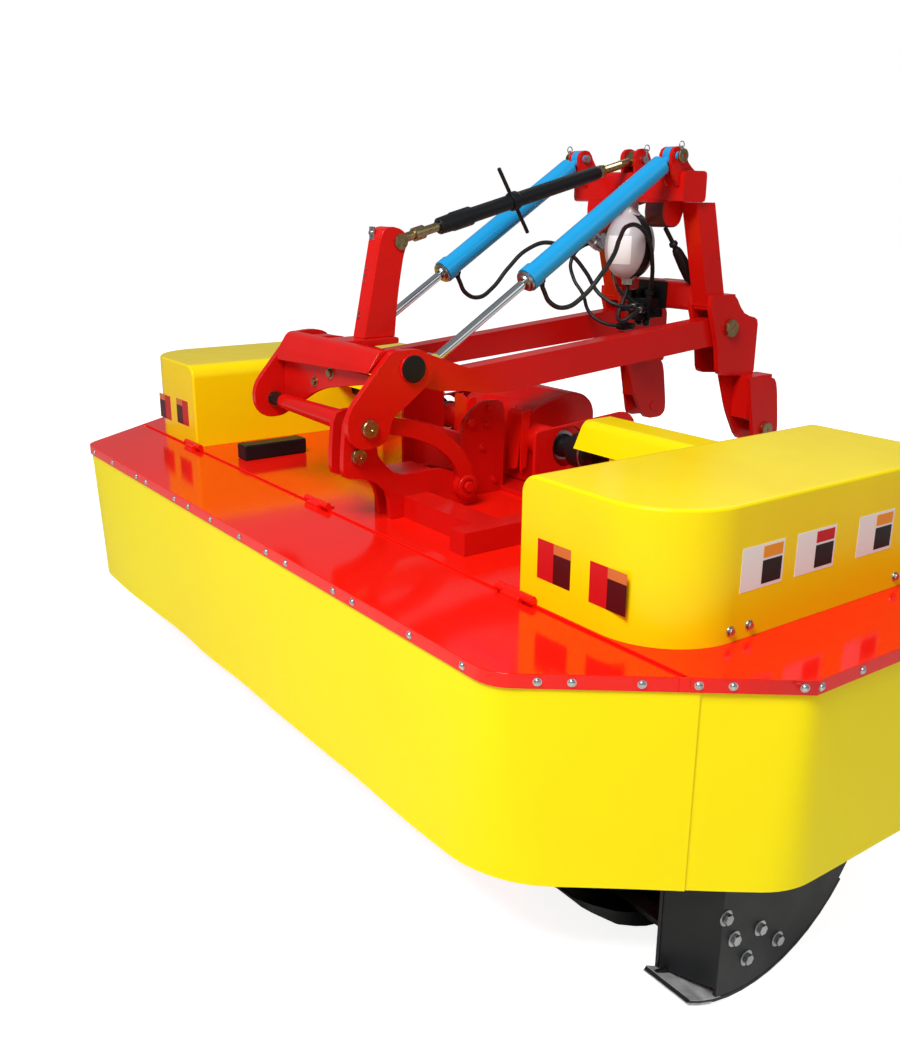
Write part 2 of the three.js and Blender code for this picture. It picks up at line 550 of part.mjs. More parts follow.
const FORK = { inner: 150, outer: 250, plate: 18 };
const POST_HALF = 30;
const innerCheekRows = [
  [1655, 1000], [1668, 1062, 10], [1750, 1004, 10], [1838, 988, 20], [1852, 950, 20],
  [HITCH_REAR, 826, 20], [HITCH_REAR, 792, 12], [1850, 773, 16], [1765, 773, 30], [1700, 880, 30],
];
const outerCheekRows = [
  [1706, 1002, 10], [1838, 988, 20], [1852, 950, 20], [HITCH_REAR, 826, 20], [HITCH_REAR, 792, 12], [1850, 773, 16], [1756, 778, 20],
];
const HITCH_INNER = 210;
// A lower hitch bracket: two cheeks and a cross pin, for one lower lift arm of the tractor.
function hitchBracket(side) {
  const inner = HITCH_INNER;
  const cheeks = [
    slabX(innerCheekRows, side * inner, side * (inner + 14)),
    slabX(outerCheekRows, side * (inner + 76), side * (inner + 90)),
  ];
  const back = block([side * (inner + 13), side * (inner + 77)], [1722, 1736], [860, 996]);
  const cap = block([side * (inner + 13), side * (inner + 77)], [1722, 1836], [982, 998]);
  const pin = turnedX([[inner - 3, 0], [inner - 3, 17], [inner + 90, 17], [inner + 90, 24], [inner + 102, 24],
    [inner + 102, 0]], side, HITCH_PIN);
  return join(cheeks, back, cap, pin);
}

const forkRows = [
  [1556, 1262], [1664, 1262, 20], [1712, 1196, 30], [1786, 1180, 20], [1786, 992, 20], [1612, 1008, 20],
  [1598, 1100, 30], [1556, 1218],
];
for (const [name, side] of SIDES) {
  const postX = [side * (ARM_X - POST_HALF), side * (ARM_X + POST_HALF)];
  const post = cut(barX([1500, 1600], [1600, 1226], ...postX, 80),
    block([-400, 400], [1300, 1700], [TOP_BEAM.bottom - SEAT, 1800]));
  const bridge = block([side * FORK.inner, side * FORK.outer], [1556, 1664], [1228, 1262]);
  const plates = [
    slabX(forkRows, side * FORK.inner, side * (FORK.inner + FORK.plate)),
    slabX(forkRows, side * (FORK.outer - FORK.plate), side * FORK.outer),
  ];
  const tie = block([side * FORK.inner, side * FORK.outer], [1740, 1760], [1000, 1175]);
  const pin = turnedX([
    [FORK.inner - 8, 0], [FORK.inner - 8, 20], [FORK.outer + 2, 20], [FORK.outer + 2, 27],
    [FORK.outer + 12, 27], [FORK.outer + 12, 0],
  ], side, REAR_PIVOT);
  place(headstock, `headstock_post_${name}`, join(post, bridge, plates, tie, pin, hitchBracket(side)), PAINT.red);
}
place(headstock, 'headstock_cross_tube', slabX([
  [1568, 1206, 14], [1568, 1224 + 70, 14], [1656, 1224 + 70, 14], [1656, 1206, 14],
], -(FORK.inner - SEAT), FORK.inner - SEAT), PAINT.red);

// ---------------------------------------------------------------- hydraulics on the headstock
const ACCUMULATOR = { x: -20, y: 1452, bottom: 1300, radius: 80 };
place(headstock, 'accumulator', turned([
  [0, 0], [0, 24], [22, 26], [30, 58], [70, ACCUMULATOR.radius], [140, ACCUMULATOR.radius], [180, 58],
  [196, 26], [TOP_BEAM.bottom - ACCUMULATOR.bottom - SEAT, 22], [TOP_BEAM.bottom - ACCUMULATOR.bottom - SEAT, 0],
], new THREE.Vector3(ACCUMULATOR.x, ACCUMULATOR.y, ACCUMULATOR.bottom),
new THREE.Vector3(ACCUMULATOR.x, ACCUMULATOR.y, TOP_BEAM.top), 20), PAINT.silver);

const valveBody = join(
  block([10, 110], [1498, 1568 - SEAT], [1218, 1290]),
  block([24, 96], [1480, 1500], [1228, 1270]),
  rodZ(14, 1289, 1318, [40, 1532], 12), rodZ(14, 1289, 1312, [80, 1532], 12));
place(headstock, 'valve_block', valveBody, PAINT.black);

const LEVER_X = DROP_BRACKET.outer - 26;
const LEVER_START = [LEVER_X, 1440, 1463.6];
const LEVER_END = [LEVER_X, 1580, 1296];
place(headstock, 'latch_lever', turned([
  [0, 0], [0, 9], [34, 9], [38, 14], [60, 14], [70, 17], [178, 19], [190, 10], [190, 0],
], new THREE.Vector3(...LEVER_START), new THREE.Vector3(...LEVER_END), 12), PAINT.black);

// ---------------------------------------------------------------- top link
const topLink = assembly('top_link_assembly');
const mastPin = new THREE.Vector3(0, ...MAST_PIN);
const linkPin = new THREE.Vector3(0, ...TOP_LINK_PIN);
const linkLength = mastPin.distanceTo(linkPin);
const LINK_TUBE = { start: 150, end: linkLength - 160 };
const alongLink = (distance) => mastPin.clone().lerp(linkPin, distance / linkLength);
const frontEye = join(
  rodX(30, -(MAST_HALF - MAST_WALL - 2), MAST_HALF - MAST_WALL - 2, MAST_PIN),
  rodX(MAST_PIN_RADIUS, -MAST_HALF - 6, MAST_HALF + 6, MAST_PIN),
  SIDES.map(([, side]) => rodX(21, side * (MAST_HALF + 1), side * (MAST_HALF + 7), MAST_PIN)),
  turned([[0, 0], [0, LINK_ROD_RADIUS], [64, LINK_ROD_RADIUS], [64, 19], [98, 19], [98, LINK_ROD_RADIUS],
    [LINK_TUBE.start - SEAT, LINK_ROD_RADIUS], [LINK_TUBE.start - SEAT, 0]], mastPin, linkPin, 16));
place(topLink, 'top_link_front_end', frontEye, PAINT.brass);
const rearEye = join(
  rodX(27, -20, 20, TOP_LINK_PIN),
  turned([[0, 0], [0, LINK_ROD_RADIUS], [170, LINK_ROD_RADIUS], [170, 0]], linkPin, mastPin, 16));
const linkMiddle = alongLink(linkLength * 0.46);
const handleAim = new THREE.Vector3(0, 57, -90).normalize();
const handle = turned([[0, 0], [0, 5], [212, 5], [212, 0]],
  linkMiddle.clone().addScaledVector(handleAim, -106), linkMiddle, 10);
const linkTube = turned([
  [LINK_TUBE.start, 0], [LINK_TUBE.start, LINK_TUBE_RADIUS - 3], [LINK_TUBE.start + 12, LINK_TUBE_RADIUS],
  [LINK_TUBE.end - 12, LINK_TUBE_RADIUS], [LINK_TUBE.end, LINK_TUBE_RADIUS - 3], [LINK_TUBE.end, 0],
], mastPin, linkPin, 20);
place(topLink, 'top_link_tube', join(linkTube, handle, rearEye), PAINT.black);

// ---------------------------------------------------------------- lift cylinders
for (const [name, side] of SIDES) {
  const cylinder = assembly(`lift_cylinder_${name}`);
  const head = new THREE.Vector3(side * CYLINDER_X, ...CYLINDER_PIN);
  const foot = new THREE.Vector3(side * CYLINDER_X, ...ROD_PIN);
  const stroke = head.distanceTo(foot);
  const eyeX = [side * CYLINDER_X - EYE_HALF, side * CYLINDER_X + EYE_HALF];
  const barrelBody = turned([
    [18, 0], [18, EYE_HALF - 1], [46, EYE_HALF - 1], [54, BARREL_RADIUS], [BARREL_LENGTH - 34, BARREL_RADIUS],
    [BARREL_LENGTH - 32, BARREL_RADIUS + 4], [BARREL_LENGTH, BARREL_RADIUS + 4], [BARREL_LENGTH, ROD_RADIUS + PIN_PLAY],
    [BARREL_LENGTH - 330, ROD_RADIUS + PIN_PLAY], [BARREL_LENGTH - 330, 0],
  ], head, foot, 18);
  const headPin = rodX(12, side * CYLINDER_X - 34, side * CYLINDER_X + 34, CYLINDER_PIN, 16);
  place(cylinder, `barrel_${name}`, join(barrelBody, rodX(EYE_RADIUS, ...eyeX, CYLINDER_PIN), headPin), PAINT.blue);
  const rod = turned([
    [0, 0], [0, ROD_RADIUS], [stroke - BARREL_LENGTH + 220, ROD_RADIUS], [stroke - BARREL_LENGTH + 220, 0],
  ], foot, head, 16);
  place(cylinder, `rod_${name}`, join(rod, rodX(EYE_RADIUS, ...eyeX, ROD_PIN)), PAINT.chrome);
}

// ---------------------------------------------------------------- drive on the deck
const CRADLE_HALF = 306;
const LOBE_X = 150;
const CRADLE_PLATE = 12;
const lobeRows = [[659, ON_DECK], [659, 948, 24], [722, 1003, 30], [811, 997, 30], [811, ON_DECK]];
const cheekRows = [[803, ON_DECK], [803, 928, 14], [1150, 951, 20], [1188, 925, 30], [1188, ON_DECK]];
const cradleCheeks = SIDES.map(([, side]) => slabX(cheekRows, side * (CRADLE_HALF - CRADLE_PLATE), side * CRADLE_HALF));
const cradleLobes = SIDES.map(([, side]) => slabX(
  lobeRows, side * (LOBE_X - CRADLE_PLATE / 2), side * (LOBE_X + CRADLE_PLATE / 2)));
const cradleFront = block([-LOBE_X, LOBE_X], [700, 712], [ON_DECK, 900]);
const cradleFloor = join(
  block([-LOBE_X - CRADLE_PLATE / 2, LOBE_X + CRADLE_PLATE / 2], [659, 1240], [ON_DECK, ON_DECK + 12]),
  block([-CRADLE_HALF, CRADLE_HALF], [803, 1188], [ON_DECK, ON_DECK + 12]));
const cradleHole = rodX(60, -CRADLE_HALF - 5, CRADLE_HALF + 5, SHAFT);
place(mower, 'gearbox_cradle',
  cut(join(cradleCheeks, cradleLobes, cradleFront, cradleFloor), cradleHole), PAINT.red);

const GEARBOX = { half: 160, front: 888, rear: 1160, floor: ON_DECK + 12 + SEAT, top: 992 };
const casting = slabX([
  [GEARBOX.front, GEARBOX.floor, 10], [GEARBOX.front, 930, 30], [GEARBOX.front + 34, 962, 30],
  [GEARBOX.rear - 70, GEARBOX.top, 30], [GEARBOX.rear, 950, 40], [GEARBOX.rear, GEARBOX.floor, 10],
], -GEARBOX.half, GEARBOX.half);
const RIB_PLACES = [-118, -40, 40, 118];
const ribs = RIB_PLACES.map((x) => slabX([
  [GEARBOX.front + 20, 940], [GEARBOX.front + 34, 976, 10], [GEARBOX.rear - 76, GEARBOX.top + 14, 10],
  [GEARBOX.rear - 30, 960],
], x - 7, x + 7));
const OUTPUT_END = 276;
const outputs = rodX(38, -OUTPUT_END, OUTPUT_END, SHAFT);
place(mower, 'gearbox', join(casting, ribs, outputs), PAINT.red);

const INPUT_Z = 880;
place(mower, 'input_shaft', turned([
  [SEAT, 0], [SEAT, 52], [20, 52], [26, 40], [36, 40], [36, 19], [120, 19], [124, 16], [124, 0],
], new THREE.Vector3(0, GEARBOX.rear, INPUT_Z), new THREE.Vector3(0, GEARBOX.rear + 1, INPUT_Z)), PAINT.steel);

const SHAFT_COVER_CLEAR = 31.7;
const SHAFT_COVER = { start: 426, halfFoot: 92, halfTop: 62, foot: RAIL_TOP + SHAFT_COVER_CLEAR, top: 975, wall: 3 };
for (const [name, side] of SIDES) {
  place(mower, `cross_shaft_${name}`, turnedX([
    [OUTPUT_END + SEAT, 0], [OUTPUT_END + SEAT, 34], [290, 34], [296, 26], [338, 26], [344, 50], [396, 52], [410, 40],
    [446, 40], [452, 24], [COVER_INNER + 20, 24], [COVER_INNER + 20, 0],
  ], side, SHAFT, 20), PAINT.steel);
  const { halfFoot, halfTop, foot, top, wall: skin } = SHAFT_COVER;
  const hood = (lift, grow) => [
    [SHAFT[0] - halfFoot - grow, foot - lift], [SHAFT[0] - halfTop - grow, top - 12 + grow, 10],
    [SHAFT[0] - halfTop + 14, top + grow, 10], [SHAFT[0] + halfTop - 14, top + grow, 10],
    [SHAFT[0] + halfTop + grow, top - 12 + grow, 10], [SHAFT[0] + halfFoot + grow, foot - lift],
  ];
  const reach = [side * SHAFT_COVER.start, side * (COVER_INNER - SEAT)];
  const shell = cut(slabX(hood(0, 0), ...reach), slabX(hood(10, -skin), side * (SHAFT_COVER.start - 5), side * (COVER_INNER + 5)));
  const legs = [-1, 1].map((end) => block([side * (SHAFT_COVER.start + 15), side * (SHAFT_COVER.start + 45)],
    [SHAFT[0] + end * (halfFoot - 8), SHAFT[0] + end * (halfFoot - 2)], [ON_DECK, foot + 20]));
  place(mower, `shaft_cover_${name}`, join(shell, legs), PAINT.yellow);
}

// Belt drive covers: folded boxes, open below, with one large outer front corner and a round inner top edge.
const COVER_FRONT_RADIUS = 175;
const COVER_REAR_RADIUS = 60;
const COVER_TOP_RADIUS = 44;
const COVER_FOLD = 10;
const coverBox = (side, skin, top) => {
  const low = COVER_INNER + skin;
  const high = COVER_OUTER - skin;
  const foot = skin > 0 ? ON_DECK - 5 : ON_DECK;
  const corner = (radius, x, y, from, steps) => Array.from({ length: steps + 1 }, (_, k) => {
    const angle = from + 0.5 * Math.PI * k / steps;
    return [side * (x + radius * Math.cos(angle)), y + radius * Math.sin(angle)];
  });
  const front = COVER_FRONT_RADIUS - skin;
  const rear = COVER_REAR_RADIUS - skin;
  const plan = slabZ([
    [side * low, COVER_REAR - skin, COVER_FOLD], [side * low, COVER_FRONT + skin, COVER_FOLD],
    ...corner(front, high - front, COVER_FRONT + skin + front, 1.5 * Math.PI, 8),
    ...corner(rear, high - rear, COVER_REAR - skin - rear, 0, 4),
  ], foot, top);
  const round = COVER_TOP_RADIUS - skin;
  const section = slabY([
    [side * low, foot - 1],
    ...Array.from({ length: 6 }, (_, k) => [
      side * (low + round - round * Math.cos(0.1 * Math.PI * k)), top - round + round * Math.sin(0.1 * Math.PI * k)]),
    [side * high, top, COVER_FOLD], [side * high, foot - 1],
  ], COVER_FRONT - 1, COVER_REAR + 1);
  return plan.intersect(section);
};
for (const [name, side] of SIDES) {
  const outer = coverBox(side, 0, ON_DECK + COVER_HEIGHT);
  const inner = coverBox(side, COVER_WALL, ON_DECK + COVER_HEIGHT - COVER_WALL);
  const shaftHole = rodX(30, side * (COVER_INNER - 5), side * (COVER_INNER + 15), SHAFT);
  place(mower, `drive_cover_${name}`, cut(outer, inner, shaftHole), PAINT.yellow);
}

const DOCUMENT_BOX = { near: -589, width: 62, front: 340, length: 222, height: 50 };
place(mower, 'document_box', block(
  [DOCUMENT_BOX.near - DOCUMENT_BOX.width, DOCUMENT_BOX.near],
  [DOCUMENT_BOX.front, DOCUMENT_BOX.front + DOCUMENT_BOX.length],
  [ON_DECK, ON_DECK + DOCUMENT_BOX.height]), PAINT.black);

// ---------------------------------------------------------------- ends: plates with legs, shoes, parking legs
const SHOE_CENTRE = [478, SHOE_RADIUS];
const arcPoint = (radius, angle) => [
  SHOE_CENTRE[0] + radius * Math.cos(angle), SHOE_CENTRE[1] + radius * Math.sin(angle)];
const arcRows = (radius, from, to, steps) => Array.from({ length: steps + 1 }, (_, k) => arcPoint(
  radius, from + (to - from) * k / steps));
const SHOE_FROM = THREE.MathUtils.degToRad(-120);
const SHOE_TO = THREE.MathUtils.degToRad(-38);
const LEG_FRONT = 328;
const LEG_SKEW = 49;             // the leg's front plate runs back towards its outer end
const LEG_DEPTH = 110;
const SHOE_STEPS = 12;
const plateRadius = (SHOE_RADIUS - SHOE_WALL) * Math.cos((SHOE_TO - SHOE_FROM) / SHOE_STEPS / 2) - SEAT;
const legAngle = -Math.acos((LEG_FRONT - SHOE_CENTRE[0]) / plateRadius);
const outerAngle = -Math.acos((LEG_FRONT + LEG_SKEW - SHOE_CENTRE[0]) / plateRadius);
const END_REAR = STAND_Y + 26;
const endRows = [
  [LEG_FRONT + LEG_SKEW, UNDER_TOP], ...arcRows(plateRadius, outerAngle, SHOE_TO, 9), [870, 300, 40], [1100, 300, 60],
  [END_REAR, 430, 30], [END_REAR, 660], [DECK_REAR - RIM_WALL - 6, 660], [DECK_REAR - RIM_WALL - 6, UNDER_TOP],
];
const STAND = { x: END_OUTER + 24, tube: 50, bore: 39, leg: 38, sleeveFoot: 430, sleeveHead: 655, foot: 8 };
const standBox = (x, width, low, high) => block(
  [x - width / 2, x + width / 2], [STAND_Y - width / 2, STAND_Y + width / 2], [low, high]);
const legFoot = arcPoint(plateRadius, legAngle)[1];
const SWATH = { x: END_OUTER - 41, y: STAND_Y - 8, low: 190, high: 520, length: 400, wall: 4, post: 12, sleeve: 80 };
const swathSleeveTop = SWATH.high + SEAT + SWATH.sleeve;
for (const [name, side] of SIDES) {
  const outerPlate = slabX(endRows, side * (END_OUTER - END_PLATE), side * END_OUTER);
  const frontPlate = slabZ([
    [side * END_INNER, LEG_FRONT], [side * END_OUTER, LEG_FRONT + LEG_SKEW],
    [side * END_OUTER, LEG_FRONT + LEG_SKEW + END_PLATE], [side * END_INNER, LEG_FRONT + END_PLATE],
  ], legFoot, UNDER_TOP);
  const innerRows = [
    [LEG_FRONT, UNDER_TOP], ...arcRows(plateRadius, legAngle, legAngle + 0.34, 4), [LEG_FRONT + LEG_DEPTH, UNDER_TOP],
  ];
  const innerPlate = slabX(innerRows, side * END_INNER, side * (END_INNER + END_PLATE));
  const floor = block([side * END_INNER, side * END_OUTER], [LEG_FRONT + LEG_SKEW, LEG_FRONT + LEG_DEPTH],
    [UNDER_TOP - END_PLATE, UNDER_TOP]);
  const bearing = rodX(70, side * (END_OUTER - END_PLATE - 30), side * (END_OUTER + 18), ROTOR);
  const bearingBore = rodX(ROTOR_JOURNAL + RUNNING_PLAY, side * (END_OUTER - 60), side * (END_OUTER + 40), ROTOR);
  const sleeve = standBox(side * STAND.x, STAND.tube, STAND.sleeveFoot, STAND.sleeveHead);
  const sleeveBore = standBox(side * STAND.x, STAND.bore, STAND.sleeveFoot - 5, STAND.sleeveHead + 5);
  const swathSleeve = block([side * (SWATH.x - 20), side * (END_OUTER - END_PLATE + 1)], [SWATH.y - 20, SWATH.y + 20],
    [SWATH.high + SEAT, swathSleeveTop]);
  const swathBore = rodZ(SWATH.post + PIN_PLAY, SWATH.high - 5, swathSleeveTop + 5, [side * SWATH.x, SWATH.y]);
  place(mower, `end_plate_${name}`, cut(
    join(outerPlate, frontPlate, innerPlate, floor, bearing, sleeve, swathSleeve),
    bearingBore, sleeveBore, swathBore), PAINT.black);

  const shoe = slabX([
    ...arcRows(SHOE_RADIUS, SHOE_FROM, SHOE_TO, SHOE_STEPS),
    ...arcRows(SHOE_RADIUS - SHOE_WALL, SHOE_TO, SHOE_FROM, SHOE_STEPS),
  ], side * END_INNER, side * END_OUTER);
  place(mower, `end_shoe_${name}`, shoe, PAINT.steel);

  const stand = assembly(`stand_${name}`);
  const x = side * STAND.x;
  const leg = join(standBox(x, STAND.leg, 0, 690), block([x - 45, x + 45], [STAND_Y - 60, STAND_Y + 60], [0, STAND.foot]));
  place(stand, `stand_leg_${name}`, leg, PAINT.steel);
}

// ---------------------------------------------------------------- cutterbar and discs
const barHalf = END_INNER - SEAT;
const discPlaces = Array.from({ length: DISC_COUNT }, (_, i) => (i - (DISC_COUNT - 1) / 2) * DISC_PITCH);
const barBody = slabX([
  [400, 66, 8], [392, 84, 8], [420, BAR_TOP, 10], [620, BAR_TOP, 10], [644, 84, 8], [636, BAR_BOTTOM, 8], [430, BAR_BOTTOM, 8],
], -barHalf, barHalf);
const HUB_RADIUS = 74;
const hubs = discPlaces.map((x) => rodZ(HUB_RADIUS, BAR_TOP - 4, DISC_HEIGHT - 6, [x, DISC_Y], 12));
const SKID_HALF = 140;
const skidRows = [
  [700, 46], [640, BAR_BOTTOM + 2], [470, BAR_BOTTOM + 2], [400, BAR_BOTTOM + 14], [300, 104], [276, 110], [288, 92],
  [350, 52], [430, 18], [500, 0], [600, 0], [676, 24],
];
const skidPlan = (x) => slabZ([
  [x - SKID_HALF, 720], [x - SKID_HALF, 340, 120], [x - 60, 262, 90], [x + 60, 262, 90], [x + SKID_HALF, 340, 120],
  [x + SKID_HALF, 720],
], -20, 140);
const skids = discPlaces.map((x) => slabX(skidRows, x - SKID_HALF, x + SKID_HALF).intersect(skidPlan(x)));
place(mower, 'cutterbar', join(barBody, hubs, skids), PAINT.black);

const DISC_HALF_LONG = 200;
const DISC_HALF_SHORT = 138;
const KNIFE = { width: 46, thickness: 5, from: 150 };
discPlaces.forEach((x, i) => {
  const group = assembly(`disc_${i + 1}_assembly`);
  const turn = i % 2 === 0 ? 0 : Math.PI / 2;
  const plan = new THREE.Shape();
  plan.absellipse(0, 0, DISC_HALF_LONG, DISC_HALF_SHORT, 0, 2 * Math.PI);
  const plate = extruded(plan, 8, 12).translate(0, 0, DISC_HEIGHT);
  const outerDisc = i === 0 || i === DISC_COUNT - 1;
  const crown = outerDisc
    ? [[7, 0], [7, 120], [40, 96], [190, 84], [200, 130], [206, 130], [206, 0]]
    : [[7, 0], [7, 110], [26, 84], [40, 60], [44, 0]];
  const cap = turned(crown, new THREE.Vector3(0, 0, DISC_HEIGHT), new THREE.Vector3(0, 0, DISC_HEIGHT + 1), 18);
  const hubFoot = rodZ(50, DISC_HEIGHT - 5.5, DISC_HEIGHT + 2, [0, 0], 12);
  const knives = [-1, 1].map((end) => block([end * KNIFE.from, end * DISC_SWEEP], [-KNIFE.width / 2, KNIFE.width / 2],
    [DISC_HEIGHT - KNIFE.thickness, DISC_HEIGHT + 1]));
  const body = join(solid(plate), cap, hubFoot, knives);
  const mesh = new THREE.Mesh(geometryOf(body), new THREE.MeshStandardMaterial(PAINT.steel));
  mesh.name = `disc_${i + 1}`;
  mesh.position.set(x, DISC_Y, 0);
  mesh.rotation.z = turn;
  group.add(mesh);
});

const DRIVE_POST = { radius: 44, bottom: DISC_HEIGHT + 206 + RUN_GAP, top: UNDER_TOP };
for (const [name, side] of SIDES) {
  const x = side * discPlaces[DISC_COUNT - 1];
  place(mower, `drive_post_${name}`, turned([
    [DRIVE_POST.bottom, 0], [DRIVE_POST.bottom, DRIVE_POST.radius], [DRIVE_POST.bottom + 240, DRIVE_POST.radius],
    [DRIVE_POST.bottom + 270, 54], [DRIVE_POST.top, 54], [DRIVE_POST.top, 0],
  ], new THREE.Vector3(x, DISC_Y, 0), new THREE.Vector3(x, DISC_Y, 1), 20), PAINT.black);
}

// ---------------------------------------------------------------- conditioner
const rotorGroup = assembly('conditioner');
const ROTOR_HALF = END_INNER - 72;
const TINE = { root: 15, tip: 9, rows: 4, perRow: 13, from: 50 };
const rotorReach = END_OUTER + 12;
const rotorTube = turnedX([
  [-rotorReach, 0], [-rotorReach, ROTOR_JOURNAL], [-ROTOR_HALF, ROTOR_JOURNAL], [-ROTOR_HALF, ROTOR_TUBE_RADIUS],
  [ROTOR_HALF, ROTOR_TUBE_RADIUS], [ROTOR_HALF, ROTOR_JOURNAL], [rotorReach, ROTOR_JOURNAL], [rotorReach, 0],
], 1, ROTOR, 20);
const tines = [];
for (let row = 0; row < TINE.rows; row += 1) {
  for (let i = 0; i < TINE.perRow; i += 1) {
    const x = (i + 0.5 + (row % 2) / 2 - TINE.perRow / 2 - 0.25) * (2 * (ROTOR_HALF - 40) / TINE.perRow);
    const angle = 2 * Math.PI * row / TINE.rows + 0.15 * Math.sin(i);
    const bar = new THREE.CylinderGeometry(TINE.tip, TINE.root, TINE_REACH - TINE.from, 4, 1);
    bar.translate(0, (TINE_REACH + TINE.from) / 2, 0).rotateX(angle).translate(x, ...ROTOR);
    tines.push(solid(bar));
  }
}
place(rotorGroup, 'conditioner_rotor', join(rotorTube, tines), PAINT.steel);

const hoodSpan = END_OUTER - END_PLATE - SEAT;
const HOOD_LINE = [[700, 560], [760, 628], [860, 652], [1000, 662], [1190, 656], [1330, 640], [1480, 560]];
const hoodRows = [...HOOD_LINE.map(([y, z]) => [y, z + 5]).reverse(), ...HOOD_LINE];
place(mower, 'conditioner_hood', cut(slabX(hoodRows, -hoodSpan, hoodSpan),
  SIDES.map(([, side]) => block([side * (hoodSpan - 60), side * (hoodSpan + 10)], [600, 800], [400, 700]))), PAINT.red);

for (const [name, side] of SIDES) {
  const group = assembly(`swath_${name}`);
  const post = rodZ(SWATH.post, SWATH.low - 10, swathSleeveTop + 4, [side * SWATH.x, SWATH.y]);
  const board = slabZ([
    [side * (SWATH.x - SWATH.wall / 2), SWATH.y], [side * (SWATH.x + SWATH.wall / 2), SWATH.y],
    [side * (SWATH.x - 58), SWATH.y + SWATH.length], [side * (SWATH.x - 58 - SWATH.wall), SWATH.y + SWATH.length],
  ], SWATH.low, SWATH.high);
  place(group, `swath_board_${name}`, join(post, board), PAINT.red);
}

// ---------------------------------------------------------------- hoses
const HOSE_RADIUS = 7;
const hoses = {
  hose_left: [
    [200, 898, 1319], [200, 906, 1304], [202, 930, 1268], [206, 985, 1252], [214, 1045, 1282], [218, 1105, 1338],
    [212, 1170, 1400], [190, 1250, 1452], [150, 1330, 1472], [108, 1400, 1452], [86, 1470, 1416], [80, 1520, 1374],
    [80, 1532, 1340], [80, 1532, 1312.3],
  ],
  hose_right: [
    [-200, 898, 1319], [-200, 906, 1304], [-202, 930, 1268], [-206, 985, 1250], [-212, 1045, 1276],
    [-214, 1110, 1336], [-206, 1180, 1392], [-188, 1260, 1412], [-160, 1325, 1376], [-124, 1366, 1316],
    [-80, 1390, 1272], [-24, 1404, 1254], [20, 1420, 1250], [38, 1446, 1249], [40, 1462, 1249], [40, 1479.4, 1249],
  ],
  hose_accumulator: [
    [-20, 1452, 1299.2], [-20, 1450, 1268], [-20, 1424, 1216], [-2, 1398, 1186], [40, 1396, 1176],
    [76, 1412, 1194], [84, 1432, 1228], [84, 1458, 1246], [84, 1479.4, 1246],
  ],
};
for (const [name, points] of Object.entries(hoses)) {
  place(headstock, name, hose(points, HOSE_RADIUS), PAINT.rubber);
}

export default machine;
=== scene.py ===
"""Front mower conditioner: the looks of the machine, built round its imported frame.

Sizes are in millimetres, measured from the middle of the deck's front edge on the ground:
X to the machine's left end, Y to the rear, Z up. The last step of each piece turns them to metres.
"""
from math import cos, pi, radians, sin, sqrt, tan

import bmesh
import bpy
from mathutils import Matrix, Vector, noise


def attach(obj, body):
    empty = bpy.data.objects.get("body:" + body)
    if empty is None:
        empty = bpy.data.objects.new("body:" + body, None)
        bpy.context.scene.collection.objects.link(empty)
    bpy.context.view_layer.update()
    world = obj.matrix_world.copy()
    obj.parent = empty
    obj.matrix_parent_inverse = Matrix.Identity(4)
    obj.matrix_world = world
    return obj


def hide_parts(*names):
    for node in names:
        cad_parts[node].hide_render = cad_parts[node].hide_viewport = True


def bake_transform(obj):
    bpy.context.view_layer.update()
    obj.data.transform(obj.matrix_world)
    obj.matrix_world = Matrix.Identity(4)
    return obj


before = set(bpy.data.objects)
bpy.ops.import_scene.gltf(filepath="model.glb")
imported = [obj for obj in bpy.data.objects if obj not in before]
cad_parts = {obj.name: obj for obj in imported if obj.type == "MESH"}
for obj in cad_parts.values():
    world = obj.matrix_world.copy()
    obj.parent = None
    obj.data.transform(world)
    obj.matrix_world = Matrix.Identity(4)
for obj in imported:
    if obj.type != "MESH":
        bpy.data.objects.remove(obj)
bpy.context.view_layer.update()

# ------ studio
# A camera at the near front corner, a large soft lamp high on its left, weaker ones on its right and
# behind the machine, and a pale room. The floor is plain and white.
YAW, PITCH, ROLL = radians(54.264), radians(17.227), radians(0.327)
EYE = Vector((2.51935, -2.01708, 1.54621))
back = Vector((sin(YAW) * cos(PITCH), -cos(YAW) * cos(PITCH), sin(PITCH)))
right = Vector((cos(YAW), sin(YAW), 0))
up = back.cross(right)
sideways = right * cos(ROLL) + up * sin(ROLL)
upright = up * cos(ROLL) - right * sin(ROLL)


def placed(name, data):
    """A new object in the scene."""
    made = bpy.data.objects.new(name, data)
    bpy.context.collection.objects.link(made)
    return made


camera = placed("camera", bpy.data.cameras.new("camera"))
camera.data.lens = 36.215
camera.data.sensor_width = 36.0
camera.data.clip_end = 60.0
camera.matrix_world = Matrix((sideways, upright, back)).transposed().to_4x4()
camera.location = EYE
bpy.context.scene.camera = camera
bpy.context.scene.view_settings.view_transform = "Standard"


def linear(code):
    """An sRGB hex colour as linear light."""
    parts = [int(code[i:i + 2], 16) / 255 for i in (0, 2, 4)]
    return tuple(p / 12.92 if p <= 0.04045 else ((p + 0.055) / 1.055) ** 2.4 for p in parts) + (1.0,)


def add(tree, kind, values=None, links=None, **settings):
    """One shader node with its settings, its plain values and what is linked into it."""
    new = tree.nodes.new("ShaderNode" + kind)
    for key, value in settings.items():
        setattr(new, key, value)
    for key, value in (values or {}).items():
        new.inputs[key].default_value = value
    for key, source in (links or {}).items():
        tree.links.new(source, new.inputs[key])
    return new


world = bpy.data.worlds.new("pale_room")
world.use_nodes = True
bpy.context.scene.world = world
room = world.node_tree
room.nodes.clear()


def backdrop(code, strength):
    """Light of one colour from the room."""
    return add(room, "Background", {"Color": linear(code), "Strength": strength}).outputs[0]


def mixed(tree, share, one, two):
    """Two shaders mixed by a share."""
    return add(tree, "MixShader", links={0: share, 1: one, 2: two}).outputs[0]


